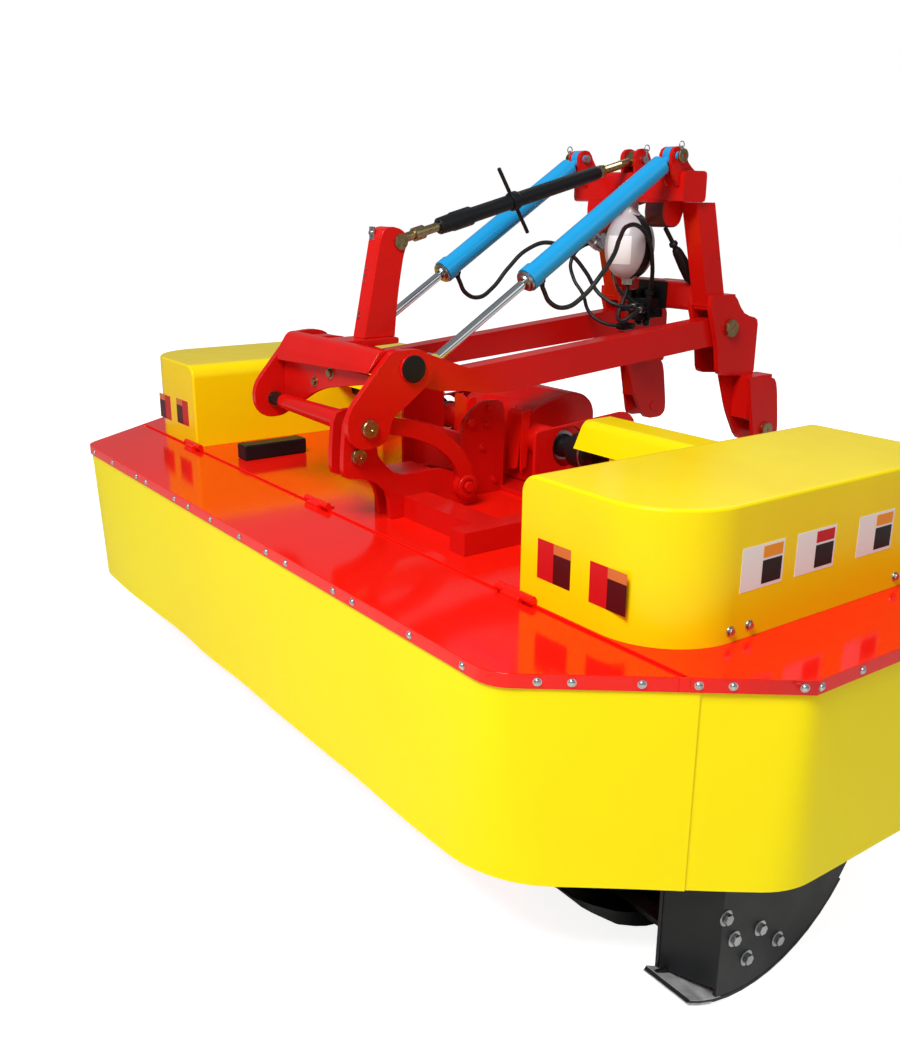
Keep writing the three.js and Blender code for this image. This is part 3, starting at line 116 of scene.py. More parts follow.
ray = add(room, "LightPath").outputs
seen = add(room, "Math", links={0: ray["Is Camera Ray"], 1: ray["Is Transmission Ray"]}, operation="MAXIMUM")
unseen = mixed(room, ray["Is Glossy Ray"], backdrop("FFFFFF", 0.26), backdrop("F2F6FA", 0.24))
shown = mixed(room, seen.outputs[0], unseen, backdrop("FFFFFF", 1.0))
add(room, "OutputWorld", links={"Surface": shown})

# Lamps: (name, degrees round the machine, degrees above the floor, distance, diameter, watts)
LAMPS = (("key_lamp", 28, 46, 6.0, 2.4, 325), ("fill_lamp", 112, 30, 6.5, 3.5, 22),
    ("rear_lamp", 205, 40, 6.5, 3.5, 50))
LAMP_AIM = Vector((0, 0, 0.8))
for lamp_name, azimuth, height, reach, size, power in LAMPS:
    lamp = placed(lamp_name, bpy.data.lights.new(lamp_name, "AREA"))
    lamp.data.shape, lamp.data.size, lamp.data.energy = "DISK", size, power
    a, e = radians(azimuth), radians(height)
    out = Vector((sin(a) * cos(e), -cos(a) * cos(e), sin(e)))
    lamp.location = LAMP_AIM + out * reach
    lamp.rotation_mode = "QUATERNION"
    lamp.rotation_quaternion = (-out).to_track_quat("-Z", "Y")

FLOOR_HALF, FLOOR_DROP = 30, 0.001
floor_form = bmesh.new()
bmesh.ops.create_grid(floor_form, x_segments=1, y_segments=1, size=FLOOR_HALF)
floor_mesh = bpy.data.meshes.new("floor")
floor_form.to_mesh(floor_mesh)
floor_form.free()
floor = placed("floor", floor_mesh)
floor.location.z = -FLOOR_DROP
paper = bpy.data.materials.new("white_floor")
paper.use_nodes = True
floor_tree = paper.node_tree
floor_tree.nodes.clear()
cast = add(floor_tree, "BsdfDiffuse", {"Color": linear("F1F1EF")}).outputs[0]
glow = add(floor_tree, "Emission", {"Color": linear("FFFFFF"), "Strength": 0.86}).outputs[0]
lit = add(floor_tree, "AddShader", links={0: cast, 1: glow}).outputs[0]
ray = add(floor_tree, "LightPath").outputs
add(floor_tree, "OutputMaterial", links={"Surface": mixed(floor_tree, ray["Is Camera Ray"], cast, lit)})
floor.data.materials.append(paper)

# ------ hydraulic hoses
# Three rubber hoses of the headstock: one from each lift cylinder's rod end to the valve block, and
# one up to the accumulator. Wire-braided rubber with a faint wrap mark, crimped in steel sleeves.
CENTRE_Y = 936.0          # the machine's middle behind the deck's front edge


def metres(x, y, z):
    return Vector((x / 1000, (y - CENTRE_Y) / 1000, z / 1000))


def finish_of(name, **inputs):
    """A new material, and the object's own coordinates in its tree."""
    material = bpy.data.materials.new(name)
    material.use_nodes = True
    tree = material.node_tree
    for key, value in inputs.items():
        tree.nodes["Principled BSDF"].inputs[key.replace("_", " ")].default_value = value
    return material, add(tree, "TexCoord").outputs["Object"]


def drive(name, source):
    """Lets a source set one input of its material's shader."""
    tree = source.id_data
    tree.links.new(source, tree.nodes["Principled BSDF"].inputs[name])


def clouds(place, scale, detail, rough=0.5):
    """Soft noise over the object."""
    values = {"Scale": scale, "Detail": detail, "Roughness": rough}
    return add(place.id_data, "TexNoise", values, {"Vector": place}).outputs["Fac"]


def tint(factor, shade, colour, low=0.3, high=0.7):
    """Carries the base colour from shade to colour along the factor."""
    tone = add(factor.id_data, "ValToRGB", links={"Fac": factor})
    ends = tone.color_ramp.elements
    ends[0].position, ends[1].position = low, high
    ends[0].color, ends[1].color = linear(shade), linear(colour)
    drive("Base Color", tone.outputs["Color"])


def emboss(height, strength, deep=0.0004):
    """Lets the surface rise and fall with the height, `deep` metres at most."""
    bump = add(height.id_data, "Bump", {"Strength": strength, "Distance": deep}, {"Height": height})
    drive("Normal", bump.outputs["Normal"])


def waves(place, way, **values):
    """Bands across the object."""
    return add(place.id_data, "TexWave", values, {"Vector": place}, bands_direction=way).outputs["Fac"]


def hose_rubber():
    """Cover rubber of a pressure hose: matte black, a wrapped-cloth texture a millimetre or two wide."""
    material, place = finish_of("wrapped_hose_rubber", Roughness=0.46)
    tint(clouds(place, 60.0, 5.0, 0.6), "0E0E10", "232326", 0.35, 0.75)
    emboss(waves(place, "DIAGONAL", Scale=170.0, Distortion=1.5, Detail=2.0), 0.25)
    return material


RUBBER = hose_rubber(), "hose_rubber"      # a finish: the material and its slot
HOSE_RADIUS = 7.0
PATH_STEP = 0.006         # metres between points of a hose's path, at most
HOSE_ROUTES = {
    "hose_left": [
        (200, 898, 1319), (200, 906, 1304), (202, 930, 1268), (206, 985, 1252), (214, 1045, 1282),
        (218, 1105, 1338), (200, 1170, 1392), (150, 1240, 1436), (100, 1320, 1470), (76, 1400, 1464),
        (70, 1448, 1420), (58, 1480, 1350), (36, 1504, 1290), (24, 1512, 1262), (24, 1512, 1240)],
    "hose_right": [
        (-200, 898, 1319), (-200, 906, 1304), (-202, 930, 1268), (-206, 985, 1250), (-212, 1045, 1276),
        (-214, 1110, 1336), (-206, 1180, 1392), (-188, 1260, 1412), (-160, 1325, 1376), (-124, 1366, 1316),
        (-100, 1390, 1262), (-60, 1404, 1232), (-26, 1424, 1216), (-10, 1446, 1212), (-6, 1464, 1212),
        (-6, 1485, 1212)],
    "hose_accumulator": [
        (-20, 1452, 1286), (-20, 1450, 1262), (-24, 1436, 1222), (-20, 1418, 1190), (-6, 1410, 1172),
        (12, 1418, 1174), (22, 1438, 1190), (24, 1462, 1202), (24, 1485, 1204)],
}


def line_piece(name, points, radius, finish):
    """A tube through the points, as a piece, and the close line in metres that it follows."""
    material, slot = finish
    points = [metres(*point) for point in points]
    line = bpy.data.curves.new(name + "_line", "CURVE")
    line.dimensions = "3D"
    spline = line.splines.new("BEZIER")
    spline.bezier_points.add(len(points) - 1)
    for knot, point in zip(spline.bezier_points, points):
        knot.co = point
        knot.handle_left_type = knot.handle_right_type = "AUTO"
    holder = placed(name + "_line", line)
    bpy.context.view_layer.update()
    path = []
    knots = spline.bezier_points
    for first, second in zip(knots, list(knots)[1:]):
        steps = max(4, int((second.co - first.co).length / PATH_STEP))
        for step in range(steps):
            t = step / steps
            s = 1 - t
            path.append(first.co * s ** 3 + first.handle_right * 3 * s * s * t
                        + second.handle_left * 3 * s * t * t + second.co * t ** 3)
    path.append(knots[-1].co.copy())
    spline.resolution_u = 8
    line.bevel_depth = radius / 1000
    line.bevel_resolution = 3
    line.use_fill_caps = True
    bpy.context.view_layer.update()
    tube = bpy.data.meshes.new_from_object(holder.evaluated_get(bpy.context.evaluated_depsgraph_get()))
    bpy.data.objects.remove(holder)
    tube.materials.append(material)
    for face in tube.polygons:
        face.use_smooth = True
    made = placed(name, tube)
    return made, path


for hose_name, route in HOSE_ROUTES.items():
    hose, path = line_piece("dressed_" + hose_name, route, HOSE_RADIUS, RUBBER)
    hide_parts(hose_name)
    if hose_name == "hose_accumulator":
        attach(hose, "headstock")
    else:
        side = hose_name.split("_")[1]
        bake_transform(hose)

# ------ frame under the deck
# Two cross beams and two low rails of square tube, welded up and enamelled red. The deck lies on them
# and the end plates are bolted to them.


def gloss(factor, low, high):
    """Lets the roughness follow the factor."""
    spread = add(factor.id_data, "MapRange", {"To Min": low, "To Max": high}, {"Value": factor})
    drive("Roughness", spread.outputs["Result"])


def enamel(name, colour, shade, roughness, specular=0.5):
    """Stoved enamel on steel plate: one even colour with slow changes of tone, and a fine orange peel
    about three millimetres across that breaks up reflections a little."""
    material, place = finish_of(name, Specular_IOR_Level=specular)
    tint(clouds(place, 2.6, 3.0, 0.55), shade, colour)
    gloss(clouds(place, 14.0, 4.0), roughness * 0.8, roughness * 1.3)
    emboss(clouds(place, 330.0, 1.0), 0.025)
    return material


RED = enamel("red_stoved_enamel", "DA140E", "C9100B", 0.2, specular=0.24), "red_paint"
MILLIMETRES = Matrix.Scale(0.001, 4) @ Matrix.Translation((0, -CENTRE_Y, 0))
SQUARE_TURN, FLAT_TURN = radians(50), radians(0.6)     # what counts as an edge, and as flat
WELD = 0.02               # points nearer than this are one
FACE_WEIGHT = 90          # how far large faces govern the shading of the broken edges beside them


def soften(form, parts, reach, segments, affect="EDGES", clamp=False):
    """Rounds some edges or corners of a form."""
    bmesh.ops.bevel(form, geom=parts, offset=reach, offset_type="OFFSET", affect=affect, segments=segments,
        profile=0.5, material=-1, clamp_overlap=clamp)


def ease(form, edge, segments=2):
    """Breaks the square edges of one closed form by `edge` millimetres."""
    bmesh.ops.recalc_face_normals(form, faces=form.faces)
    sharp = [e for e in form.edges
             if len(e.link_faces) == 2 and abs(e.calc_face_angle_signed(0)) > SQUARE_TURN]
    if edge > 0 and sharp:
        soften(form, sharp, edge, segments, clamp=True)
    return form


def join(*forms):
    """Puts several forms into the first."""
    first = forms[0]
    for form in forms[1:]:
        carried = bpy.data.meshes.new("carried")
        form.to_mesh(carried)
        form.free()
        first.from_mesh(carried)
        bpy.data.meshes.remove(carried)
    return first


def settle(name, forms, finish, body="mower", stands_for="", turn=48):
    """Makes forms in millimetres one piece in metres, shaded smooth over turns below `turn` degrees."""
    material, slot = finish
    form = join(*forms)
    form.transform(MILLIMETRES)
    bmesh.ops.recalc_face_normals(form, faces=form.faces)
    for face in form.faces:
        face.smooth = True
    for line in form.edges:
        line.smooth = len(line.link_faces) == 2 and line.calc_face_angle(0) < radians(turn)
    mesh = bpy.data.meshes.new(name)
    form.to_mesh(mesh)
    form.free()
    mesh.materials.append(material)
    made = placed(name, mesh)
    weighted = made.modifiers.new("even_faces", "WEIGHTED_NORMAL")
    weighted.keep_sharp = True
    weighted.weight = FACE_WEIGHT
    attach(made, body)
    if stands_for:
        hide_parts(stands_for)
    return made


def eased(node, edge, segments=2):
    """The CAD node's own shape with its square edges broken, in millimetres."""
    form = bmesh.new()
    form.from_mesh(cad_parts[node].data)
    form.transform(MILLIMETRES.inverted())
    bmesh.ops.remove_doubles(form, verts=form.verts, dist=WELD)
    bmesh.ops.dissolve_limit(form, angle_limit=FLAT_TURN, use_dissolve_boundaries=False, verts=form.verts,
        edges=form.edges, delimit=set())
    return ease(form, edge, segments)


def dress(name, node, edge, finish, body="mower", segments=2, turn=48):
    """A piece that is the CAD node's own shape with its edges broken."""
    settle(name, [eased(node, edge, segments)], finish, body, node, turn)


dress("under_frame_tubes", "under_frame", 4.0, RED)

# ------ deck and hinged front guard
# The deck is one five-millimetre sheet with a folded rim; the front strip hinges up on three knuckles
# for access to the discs. Pan-head screws through the rim clamp the curtains.
DECK_TOP = 730.0
HALF_WIDTH, FRONT_HALF, CHAMFER_DEPTH, DECK_REAR = 1500.0, 1137.0, 464.0, 1290.0
HINGE_Y = 278.0
RIM_FACE = Vector((CHAMFER_DEPTH, FRONT_HALF - HALF_WIDTH, 0)).normalized()

# The deck, guard and seam strip take a lighter, glossier copy of the red enamel. Its lighter tone is painted
# light, for the deck's top under the key lamp.
LIT_RED = enamel("lit_red_enamel", "F4190C", "F0160A", 0.1, specular=0.3), "red_paint"


def zinc(name, colour, shade):
    """Zinc-plated steel: a bright satin metal with cloudy spangle some millimetres across."""
    material, place = finish_of(name, Metallic=1.0)
    spangle = clouds(place, 120.0, 4.0, 0.65)
    tint(spangle, shade, colour)
    gloss(spangle, 0.22, 0.42)
    return material


ZINC = zinc("zinc_plated_screws", "D9DADB", "9EA0A3"), "steel"
dress("deck_sheet", "deck_panel", 1.6, LIT_RED)
dress("guard_sheet", "front_guard", 2.2, LIT_RED, "front_guard")


def plate(rows, axis, near, far, edge=1.5, rounds=6):
    """Cut plate: (a, b, how far the corner's rounding reaches) rows, made thick along the axis."""
    form = bmesh.new()
    points = [Vector(row[:2]) for row in rows]
    thick = "XYZ".index(axis)
    corners = [form.verts.new((*point[:thick], near, *point[thick:])) for point in points]
    form.faces.new(corners)
    for i, corner in enumerate(corners):
        wanted = rows[i][2] if len(rows[i]) > 2 else 0
        beside = (points[i - 1], points[(i + 1) % len(points)])
        if wanted:
            most = 0.48 * min((points[i] - point).length for point in beside)
            soften(form, [corner], min(wanted, most), rounds, "VERTICES")
    grown = bmesh.ops.extrude_face_region(form, geom=form.faces[:], use_keep_orig=True)
    shift = Vector()
    shift[thick] = far - near
    far_side = [v for v in grown["geom"] if isinstance(v, bmesh.types.BMVert)]
    bmesh.ops.translate(form, verts=far_side, vec=shift)
    return ease(form, edge)


def bar(x, y, z, edge=2.0):
    """A square-edged bar or tube between two corners."""
    form = bmesh.new()
    bmesh.ops.create_cube(form, size=1.0)
    bmesh.ops.scale(form, verts=form.verts, vec=(x[1] - x[0], y[1] - y[0], z[1] - z[0]))
    bmesh.ops.translate(form, verts=form.verts, vec=(sum(x) / 2, sum(y) / 2, sum(z) / 2))
    return ease(form, edge)


def standing(place, aim):
    """The move that stands an upright form on a place, pointing along the aim."""
    turn = Vector((0, 0, 1)).rotation_difference(aim)
    return Matrix.Translation(place) @ turn.to_matrix().to_4x4()


def turned(rows, start, end, steps=40):
    """A lathe-turned form on the line from start towards end; rows are (along, radius)."""
    form = bmesh.new()
    chain = [form.verts.new((radius, 0, along)) for along, radius in rows]
    lines = [form.edges.new(pair) for pair in zip(chain, chain[1:])]
    bmesh.ops.spin(form, geom=chain + lines, cent=(0, 0, 0), axis=(0, 0, 1), angle=2 * pi, steps=steps,
        use_merge=True)
    bmesh.ops.remove_doubles(form, verts=form.verts, dist=WELD / 4)
    bmesh.ops.recalc_face_normals(form, faces=form.faces)
    form.transform(standing(start, (Vector(end) - Vector(start)).normalized()))
    return form


def crosswise(rows, x, place, steps=36, side=1):
    """A turned form that lies across the machine, from x outwards on its side."""
    return turned(rows, (side * x, *place), (side * (x + 1), *place), steps)


ROOT_THREE, HEAD_SHARE, WASHER = 1.732, 0.42, 2.0


def bolt(place, aim, across=17.0, washer=True):
    """A hexagon bolt head with its washer, standing on `place` and pointing along `aim`."""
    height, reach = across * HEAD_SHARE, across / ROOT_THREE
    head = bmesh.new()
    bmesh.ops.create_cone(head, cap_ends=True, segments=6, radius1=reach, radius2=reach, depth=height)
    bmesh.ops.translate(head, verts=head.verts, vec=(0, 0, height / 2 + (WASHER if washer else 0)))
    ease(head, across * 0.05, 1)
    head.transform(standing(place, Vector(aim).normalized()))
    if not washer:
        return head
    rows = [(0, 0), (0, across * 0.82), (1.4, across * 0.82), (WASHER, across * 0.78), (WASHER, 0)]
    ring = turned(rows, place, Vector(place) + Vector(aim), 20)
    return join(head, ring)


def rim_screw(place, aim):
    """A pan-head screw of eight millimetres on a small washer."""
    return turned([(0, 0), (0, 8.5), (1.0, 8.5), (1.2, 6.6), (3.0, 6.2), (4.6, 4.4), (5.2, 2.0), (5.2, 0)],
        place, Vector(place) + Vector(aim), 16)


def chamfer_x(y):
    return FRONT_HALF + (HALF_WIDTH - FRONT_HALF) * y / CHAMFER_DEPTH


def on_chamfer(y, side, z):
    return Vector((side * chamfer_x(y), y, z)), Vector((side * RIM_FACE.x, RIM_FACE.y, 0))


SCREW_Z = 715.0
guard_screws = [rim_screw((side * x, 0, SCREW_Z), (0, -1, 0)) for side in (1, -1)
    for x in (91, 244, 347, 574, 658, 880, 1058)]
guard_screws += [rim_screw(*on_chamfer(y, side, SCREW_Z)) for side in (1, -1) for y in (70, 119, 218)]
settle("guard_rim_screws", guard_screws, ZINC, "front_guard")
deck_screws = [rim_screw(*on_chamfer(y, side, SCREW_Z)) for side in (1, -1) for y in (298, 346, 446)]
deck_screws += [rim_screw((side * HALF_WIDTH, y, SCREW_Z), (side, 0, 0)) for side in (1, -1)
    for y in (475, 598, 760, 920, 1080, 1240)]
deck_screws += [rim_screw((x, DECK_REAR, SCREW_Z), (0, 1, 0)) for x in range(-1400, 1401, 200)]
settle("deck_rim_screws", deck_screws, ZINC)

seam_reach = chamfer_x(HINGE_Y) - 14
seam_strip = bar((-seam_reach, seam_reach), (264, 294), (720.5, 724.6), 0.5)
FILL_ROWS = ((270.5, 0.3), (285.5, 0.3), (285.5, 4.2), (270.5, 4.2))
rim_fills = [plate([(side * (chamfer_x(y) - deep), y) for y, deep in FILL_ROWS], "Z", 700.3, 729.6, 0.3)
    for side in (1, -1)]
settle("hinge_seam_strip", [seam_strip, *rim_fills], LIT_RED)

HINGE_PLACES = (-870.0, 0.0, 870.0)
settle("hinge_screws", [
    bolt((x, HINGE_Y + 26, DECK_TOP), (0, 0, 1), 10, washer=False) for x in (-38, 38)], RED)
settle("hinge_pins", [
    crosswise([(-52, 0), (-52, 4.5), (-50, 6), (50, 6), (52, 4.5), (52, 0)], x, (HINGE_Y, DECK_TOP + 12),
    16) for x in HINGE_PLACES], ZINC)

# ------ curtains
# The crop curtains: yellow coated fabric 2.4 mm thick, hung inside the rim, its lower corners in a
# wide round because the fabric is stiff. The hem swings in and out by a few millimetres.
HEM, HEAD = 280.0, 724.5
TUCK = 4.6
CURTAIN_GAP = 4.0
LAP = 24.0                # the front sheet laps this far over the side sheets
LAP_CALM = 200.0          # a sheet hangs still at its ends and swings fully this far from them
CLOTH_THICK, CLOTH_STEP, CORNER_STEPS = 2.4, 16, 14
SWING_LONG, FALL_LONG, FALL_DEEP = 420, 300, 5.0      # how long the folds are, how far the hem can fall
SIDES = (("left", 1), ("right", -1))


def coated_fabric():
    """PVC-coated polyester: satin yellow film over a plain weave whose threads, about four to the
    centimetre, only just print through."""
    material, place = finish_of("coated_curtain_fabric", Roughness=0.4, Specular_IOR_Level=0.12)
    tint(clouds(place, 1.8, 3.0), "FFE506", "FFEB0A")
    weave = [waves(place, way, Scale=62.0) for way in ("X", "Y", "Z")]
    pair = add(place.id_data, "Math", links={0: weave[0], 1: weave[1]}, operation="MAXIMUM")
    cloth = add(place.id_data, "Math", links={0: pair.outputs[0], 1: weave[2]}, operation="MULTIPLY")
    emboss(cloth.outputs[0], 0.05, 0.0003)
    return material


FABRIC = coated_fabric(), "yellow_curtain"


def rounded(line, radius):
    """A plan line with its inner corners rounded."""
    made = [line[0].copy()]
    for before, corner, after in zip(line, line[1:], line[2:]):
        one, two = (before - corner).normalized(), (after - corner).normalized()
        half = one.angle(two) / 2
        middle = corner + (one + two).normalized() * (radius / sin(half))
        first = corner + one * (radius / tan(half)) - middle
        turn = (pi - 2 * half) * (1 if first.cross(corner - middle) > 0 else -1)
        for step in range(CORNER_STEPS + 1):
            a = turn * step / CORNER_STEPS
            made.append(middle + Vector((first.x * cos(a) - first.y * sin(a),
                first.x * sin(a) + first.y * cos(a))))
    return made + [line[-1].copy()]


def along(line, share):
    """The point at a share of the line's length."""
    runs = [(b - a).length for a, b in zip(line, line[1:])]
    left = share * sum(runs)
    for start, end, run in zip(line, line[1:], runs):
        if left <= run + 1e-6:
            return start.lerp(end, min(1, left / run))
        left -= run
    return line[-1].copy()


def curtain(name, line, head_radius, hem_radius, body, node, wave, seed):
    """A hung sheet between its head line and its rounder hem line."""
    head_line, hem_line = rounded(line, head_radius), rounded(line, hem_radius)
    long = sum((b - a).length for a, b in zip(hem_line, hem_line[1:]))
    form = bmesh.new()
    bmesh.ops.create_grid(form, x_segments=int(long / CLOTH_STEP), y_segments=16, size=0.5)
    for vert in form.verts:
        share, drop = vert.co.x + 0.5, 0.5 - vert.co.y
        point = along(head_line, share).lerp(along(hem_line, share), drop)
        step = along(hem_line, min(1, share + 0.004)) - along(hem_line, max(0, share - 0.004))
        outward = Vector((step.y, -step.x)).normalized()
        calm = min(1, min(share, 1 - share) * long / LAP_CALM)
        swing = drop ** 2 * wave * calm * noise.noise(Vector((share * long / SWING_LONG, seed, 0)))
        fall = drop ** 3 * FALL_DEEP * noise.noise(Vector((share * long / FALL_LONG, seed + 9, 4)))
        point += outward * swing
        vert.co = (point.x, point.y, HEAD + (HEM - HEAD) * drop + fall)
    bmesh.ops.recalc_face_normals(form, faces=form.faces)
    bmesh.ops.solidify(form, geom=form.faces[:], thickness=CLOTH_THICK)
    made = settle(name, [form], FABRIC, body, node, turn=60)


def inset(line, distance):
    """The plan line moved inwards, to the right of its direction."""
    made = []
    for i, corner in enumerate(line):
        runs = [(line[k + 1] - line[k]).normalized() for k in (i - 1, i) if 0 <= k and k + 1 < len(line)]
        ways = [Vector((run.y, -run.x)) for run in runs]
        across = sum(ways, Vector((0, 0))).normalized()
        made.append(corner + across * (distance / across.dot(ways[0])))
    return made


front_end, side_start = HINGE_Y + LAP, HINGE_Y + CURTAIN_GAP / 2
front_line = [Vector((chamfer_x(front_end), front_end)), Vector((FRONT_HALF, 0)), Vector((-FRONT_HALF, 0)),
    Vector((-chamfer_x(front_end), front_end))]
curtain("front_curtain_sheet", inset(front_line, TUCK), 86, 260, "front_guard", "front_curtain", 9.0, 3)
for hand, side in SIDES:
    side_line = [Vector((side * x, y)) for x, y in (
        (chamfer_x(side_start), side_start), (HALF_WIDTH, CHAMFER_DEPTH), (HALF_WIDTH, DECK_REAR - TUCK))]
    if side > 0:
        side_line.reverse()
    curtain(f"side_curtain_sheet_{hand}", inset(side_line, TUCK + 3.6), 70, 165, "mower",
        f"side_curtain_{hand}", 7.0, 20 + side)

# ------ carrier on the deck
# The headstock carrier: a short beam with two nose plates and a bent arch, and the square rail that ties
# it to the deck. Cross pins and the lower nose bolt are zinc-plated and yellow passivated; the arch foot
# bolt is painted red.
NOSE_PIN, LOWER_PIN, PIVOT, ARCH_FOOT = (285, 993), (275, 915), (417, 1133), (612, 790)
MAST_PIN, ROD_PIN, CYLINDER_PIN, TOP_LINK_PIN = (540, 1435), (523, 1131), (1386, 1671), (1436, 1665)
REAR_PIVOT, HITCH_PIN = (1650, 1156), (1808, 818)
BRACKET_FACE, ARCH_FACE, HEAD_FACE = 229.0, 247.0, 270.0
GOLD = zinc("yellow_passivated_zinc", "BBA77E", "8C7A52"), "yellow_zinc"
BLACK = enamel("black_stoved_enamel", "17181A", "0F1012", 0.4, specular=0.28), "black_paint"
BLACK_STEEL = BLACK[0], "steel"


def pin_head(x, place, radius, stand, side=1):
    """The turned head of a cross pin on a plate's face: broken edge, one groove and a centre drilling."""
    rows = [(0, 0), (0, radius), (stand * 0.3, radius), (stand * 0.36, radius - 1.2), (stand * 0.44, radius),
            (stand - 2, radius), (stand, radius - 2), (stand, 5), (stand - 3, 2.5), (stand - 3, 0)]
    return crosswise(rows, x, place, side=side)


def ring(x, place, inner, outer, thick, side=1):
    """A washer or weld ring round a pin."""
    rows = [(0, inner), (0, outer), (thick * 0.6, outer), (thick, outer - thick * 0.4), (thick, inner),
        (0, inner)]
    return crosswise(rows, x, place, side=side)


dress("carrier_weldment", "carrier_base", 2.5, RED)
settle("lower_nose_bolt", [
    pin_head(BRACKET_FACE + 0.2, LOWER_PIN, 21, 12), bolt((150.8, *LOWER_PIN), (-1, 0, 0), 25)], GOLD)
settle("arch_foot_bolt", [
    bolt((ARCH_FACE + 0.2, *ARCH_FOOT), (1, 0, 0), 27), ring(ARCH_FACE, ARCH_FOOT, 20, 31, 5)], RED)

# ------ head: side plates, beam, nose tube, mast
# Two heavy side plates turn on the nose pin and carry the pivot tube; a box beam, a saddle and the
# forked mast for the top link are welded between them.
HEAD_FAR = -249.7         # the far end of the beam between the plates
for hand, side in SIDES:
    dress(f"head_side_plate_{hand}", f"head_plate_{hand}", 5.0, RED, segments=4)
beam_band = plate([(294, 1113, 5), (302, 1138, 8), (332, 1181, 14), (356, 1183, 4), (356, 1113, 4)],
    "X", HEAD_FAR, -HEAD_FAR, 3.5)
BEAM_FOOT = 1122          # below this the beam's edge climbs to the left
for vert in beam_band.verts:
    if vert.co.z < BEAM_FOOT:
        vert.co.z += 2 + vert.co.x / 250 * 12
beam_web = plate([(HEAD_FAR, 1118), (HEAD_FAR, 962), (-222, 962, 14), (-40, 1048, 60), (-HEAD_FAR, 1100),
    (-HEAD_FAR, 1118)], "Y", 318, 330, 2.0)
mast_saddle = plate([(352, 1160), (352, 1183), (524, 1183, 6), (524, 1166, 6)], "X", -44, 44, 2.0)
settle("head_box_beam", [beam_band, beam_web, mast_saddle], RED, stands_for="head_beam")
settle("head_web_bolts", [
    bolt((24, 317.8, 1099), (0, -1, 0), 20), bolt((-65, 317.8, 1064), (0, -1, 0), 17)], GOLD)

settle("nose_pin_tube", [crosswise([(54, 0), (54, 19), (58, 21), (150, 22.5), (340, 26.5), (396, 27.5),
    (400.2, 25), (400.2, 0)], HEAD_FAR, NOSE_PIN, 40)], RED, stands_for="nose_tube")
settle("nose_pin_sleeve", [crosswise([(6.2, 0), (6.2, 17), (8, 18.5), (52, 18.5), (54, 17), (54, 0)],
    HEAD_FAR, NOSE_PIN)], BLACK)
settle("nose_pin_and_washers", [
    ring(243.6, NOSE_PIN, 10, 23, 5.6, -1), pin_head(HEAD_FACE + 0.3, NOSE_PIN, 23, 11.7),
    pin_head(HEAD_FACE + 0.3, NOSE_PIN, 23, 11.7, -1),
    crosswise([(0, 0), (0, 14.6), (119, 14.6), (119, 0)], 151, NOSE_PIN, 28)], GOLD, turn=40)

mast_side = [(421, 1183.3), (476, 1440, 10), (488, 1468, 16), (512, 1476, 14), (552, 1466, 26),
    (567, 1438, 30), (552, 1404, 40), (530, 1290, 60), (520, 1183.3)]
mast_front = [(421, 1183.3), (476, 1440, 10), (488, 1468, 16), (512, 1476, 8), (514, 1462), (498, 1450, 10),
    (434, 1183.3)]
mast_forms = [plate(mast_side, "X", side * 20, side * 30, 2.2) for side in (1, -1)]
mast_forms.append(plate(mast_front, "X", -20.5, 20.5, 1.0))
settle("top_link_mast", mast_forms, RED, stands_for="mast")
settle("mast_keeper_plate", [
    bar((-25, -3), (475, 482), (1440, 1474), 1.5),
    turned([(0, 0), (0, 6), (5, 6), (5, 0)], (-14, 475, 1458), (-14, 474, 1458), 14)], ZINC)
settle("mast_rivets", [
    bolt((-18, 421 + (z - 1184) * 0.2145, z), (0, -1, 0.22), 8, washer=False)
    for z in (1236, 1250, 1330, 1348, 1366)], ZINC)

# ------ drive on the deck
# A smooth cast bevel gearbox in its cradle of bolted plates, with a folded rib on each side of its front,
# a flanged input for the tractor's shaft and a cross shaft to each side.
CRADLE_FACE, LOBE_FACE = 306.0, 156.0
SHAFT = (927.0, 872.0)
dress("gearbox_cradle_plates", "gearbox_cradle", 3.0, RED, segments=3)
CASING_FACE = 160.0
casing = plate([(888, 742.6, 8), (888, 926, 26), (918, 964, 34), (1060, 1000, 60), (1130, 978, 40),
    (1160, 940, 40), (1160, 742.6, 8)], "X", -CASING_FACE, CASING_FACE, 9.0, 8)
outputs = [crosswise([(0, 0), (0, 44), (60, 44), (70, 38), (116, 38), (116, 0)],
    CASING_FACE, SHAFT, 40, side) for side in (1, -1)]
RIB_ROWS = ((100, 776, 6), (102, 944, 10), (112, 962, 10), (162, 966, 12), (169, 950, 10), (148, 782, 8))
for hand, side in SIDES:
    rib = plate([(side * x, z, reach) for x, z, reach in RIB_ROWS], "Y", 866, 872, 1.5)
    flanges = [plate([(889, 790), (866, 778, 4), (866, 952, 14), (900, 962)],
        "X", side * x, side * (x + 5), 1.2) for x in (100, 162)]
    # The ribs are the same red paint as the cradle and casing. They are drawn in the lighter red as painted
    # light, for their fronts lit by the key lamp.
    settle(f"gearbox_front_rib_{hand}", [rib, *flanges], LIT_RED)
settle("bevel_gearbox", [casing, *outputs], RED, stands_for="gearbox", turn=40)
lobe_bolts = [bolt((side * LOBE_FACE, y, z), (side, 0, 0), across) for side in (1, -1) for y, z, across in (
    (685, 944, 24), (742, 934, 16), (751, 979, 16), (730, 866, 13), (775, 766, 16), (688, 766, 16))]
cheek_bolts = [bolt((side * CRADLE_FACE, y, 778), (side, 0, 0), 16) for side in (1, -1) for y in (840, 1150)]
settle("cradle_bolts", [*lobe_bolts, *cheek_bolts], RED)


def steel(name, colour, shade, rough=0.38, metal=1.0):
    """Bare rolled steel: a grey metal whose tone and gloss change in clouds of a few centimetres."""
    material, place = finish_of(name, Metallic=metal)
    cloudy = clouds(place, 22.0, 6.0, 0.6)
    tint(cloudy, shade, colour)
    gloss(cloudy, rough * 0.7, rough * 1.4)
    emboss(clouds(place, 260.0, 2.0), 0.15)
    return material


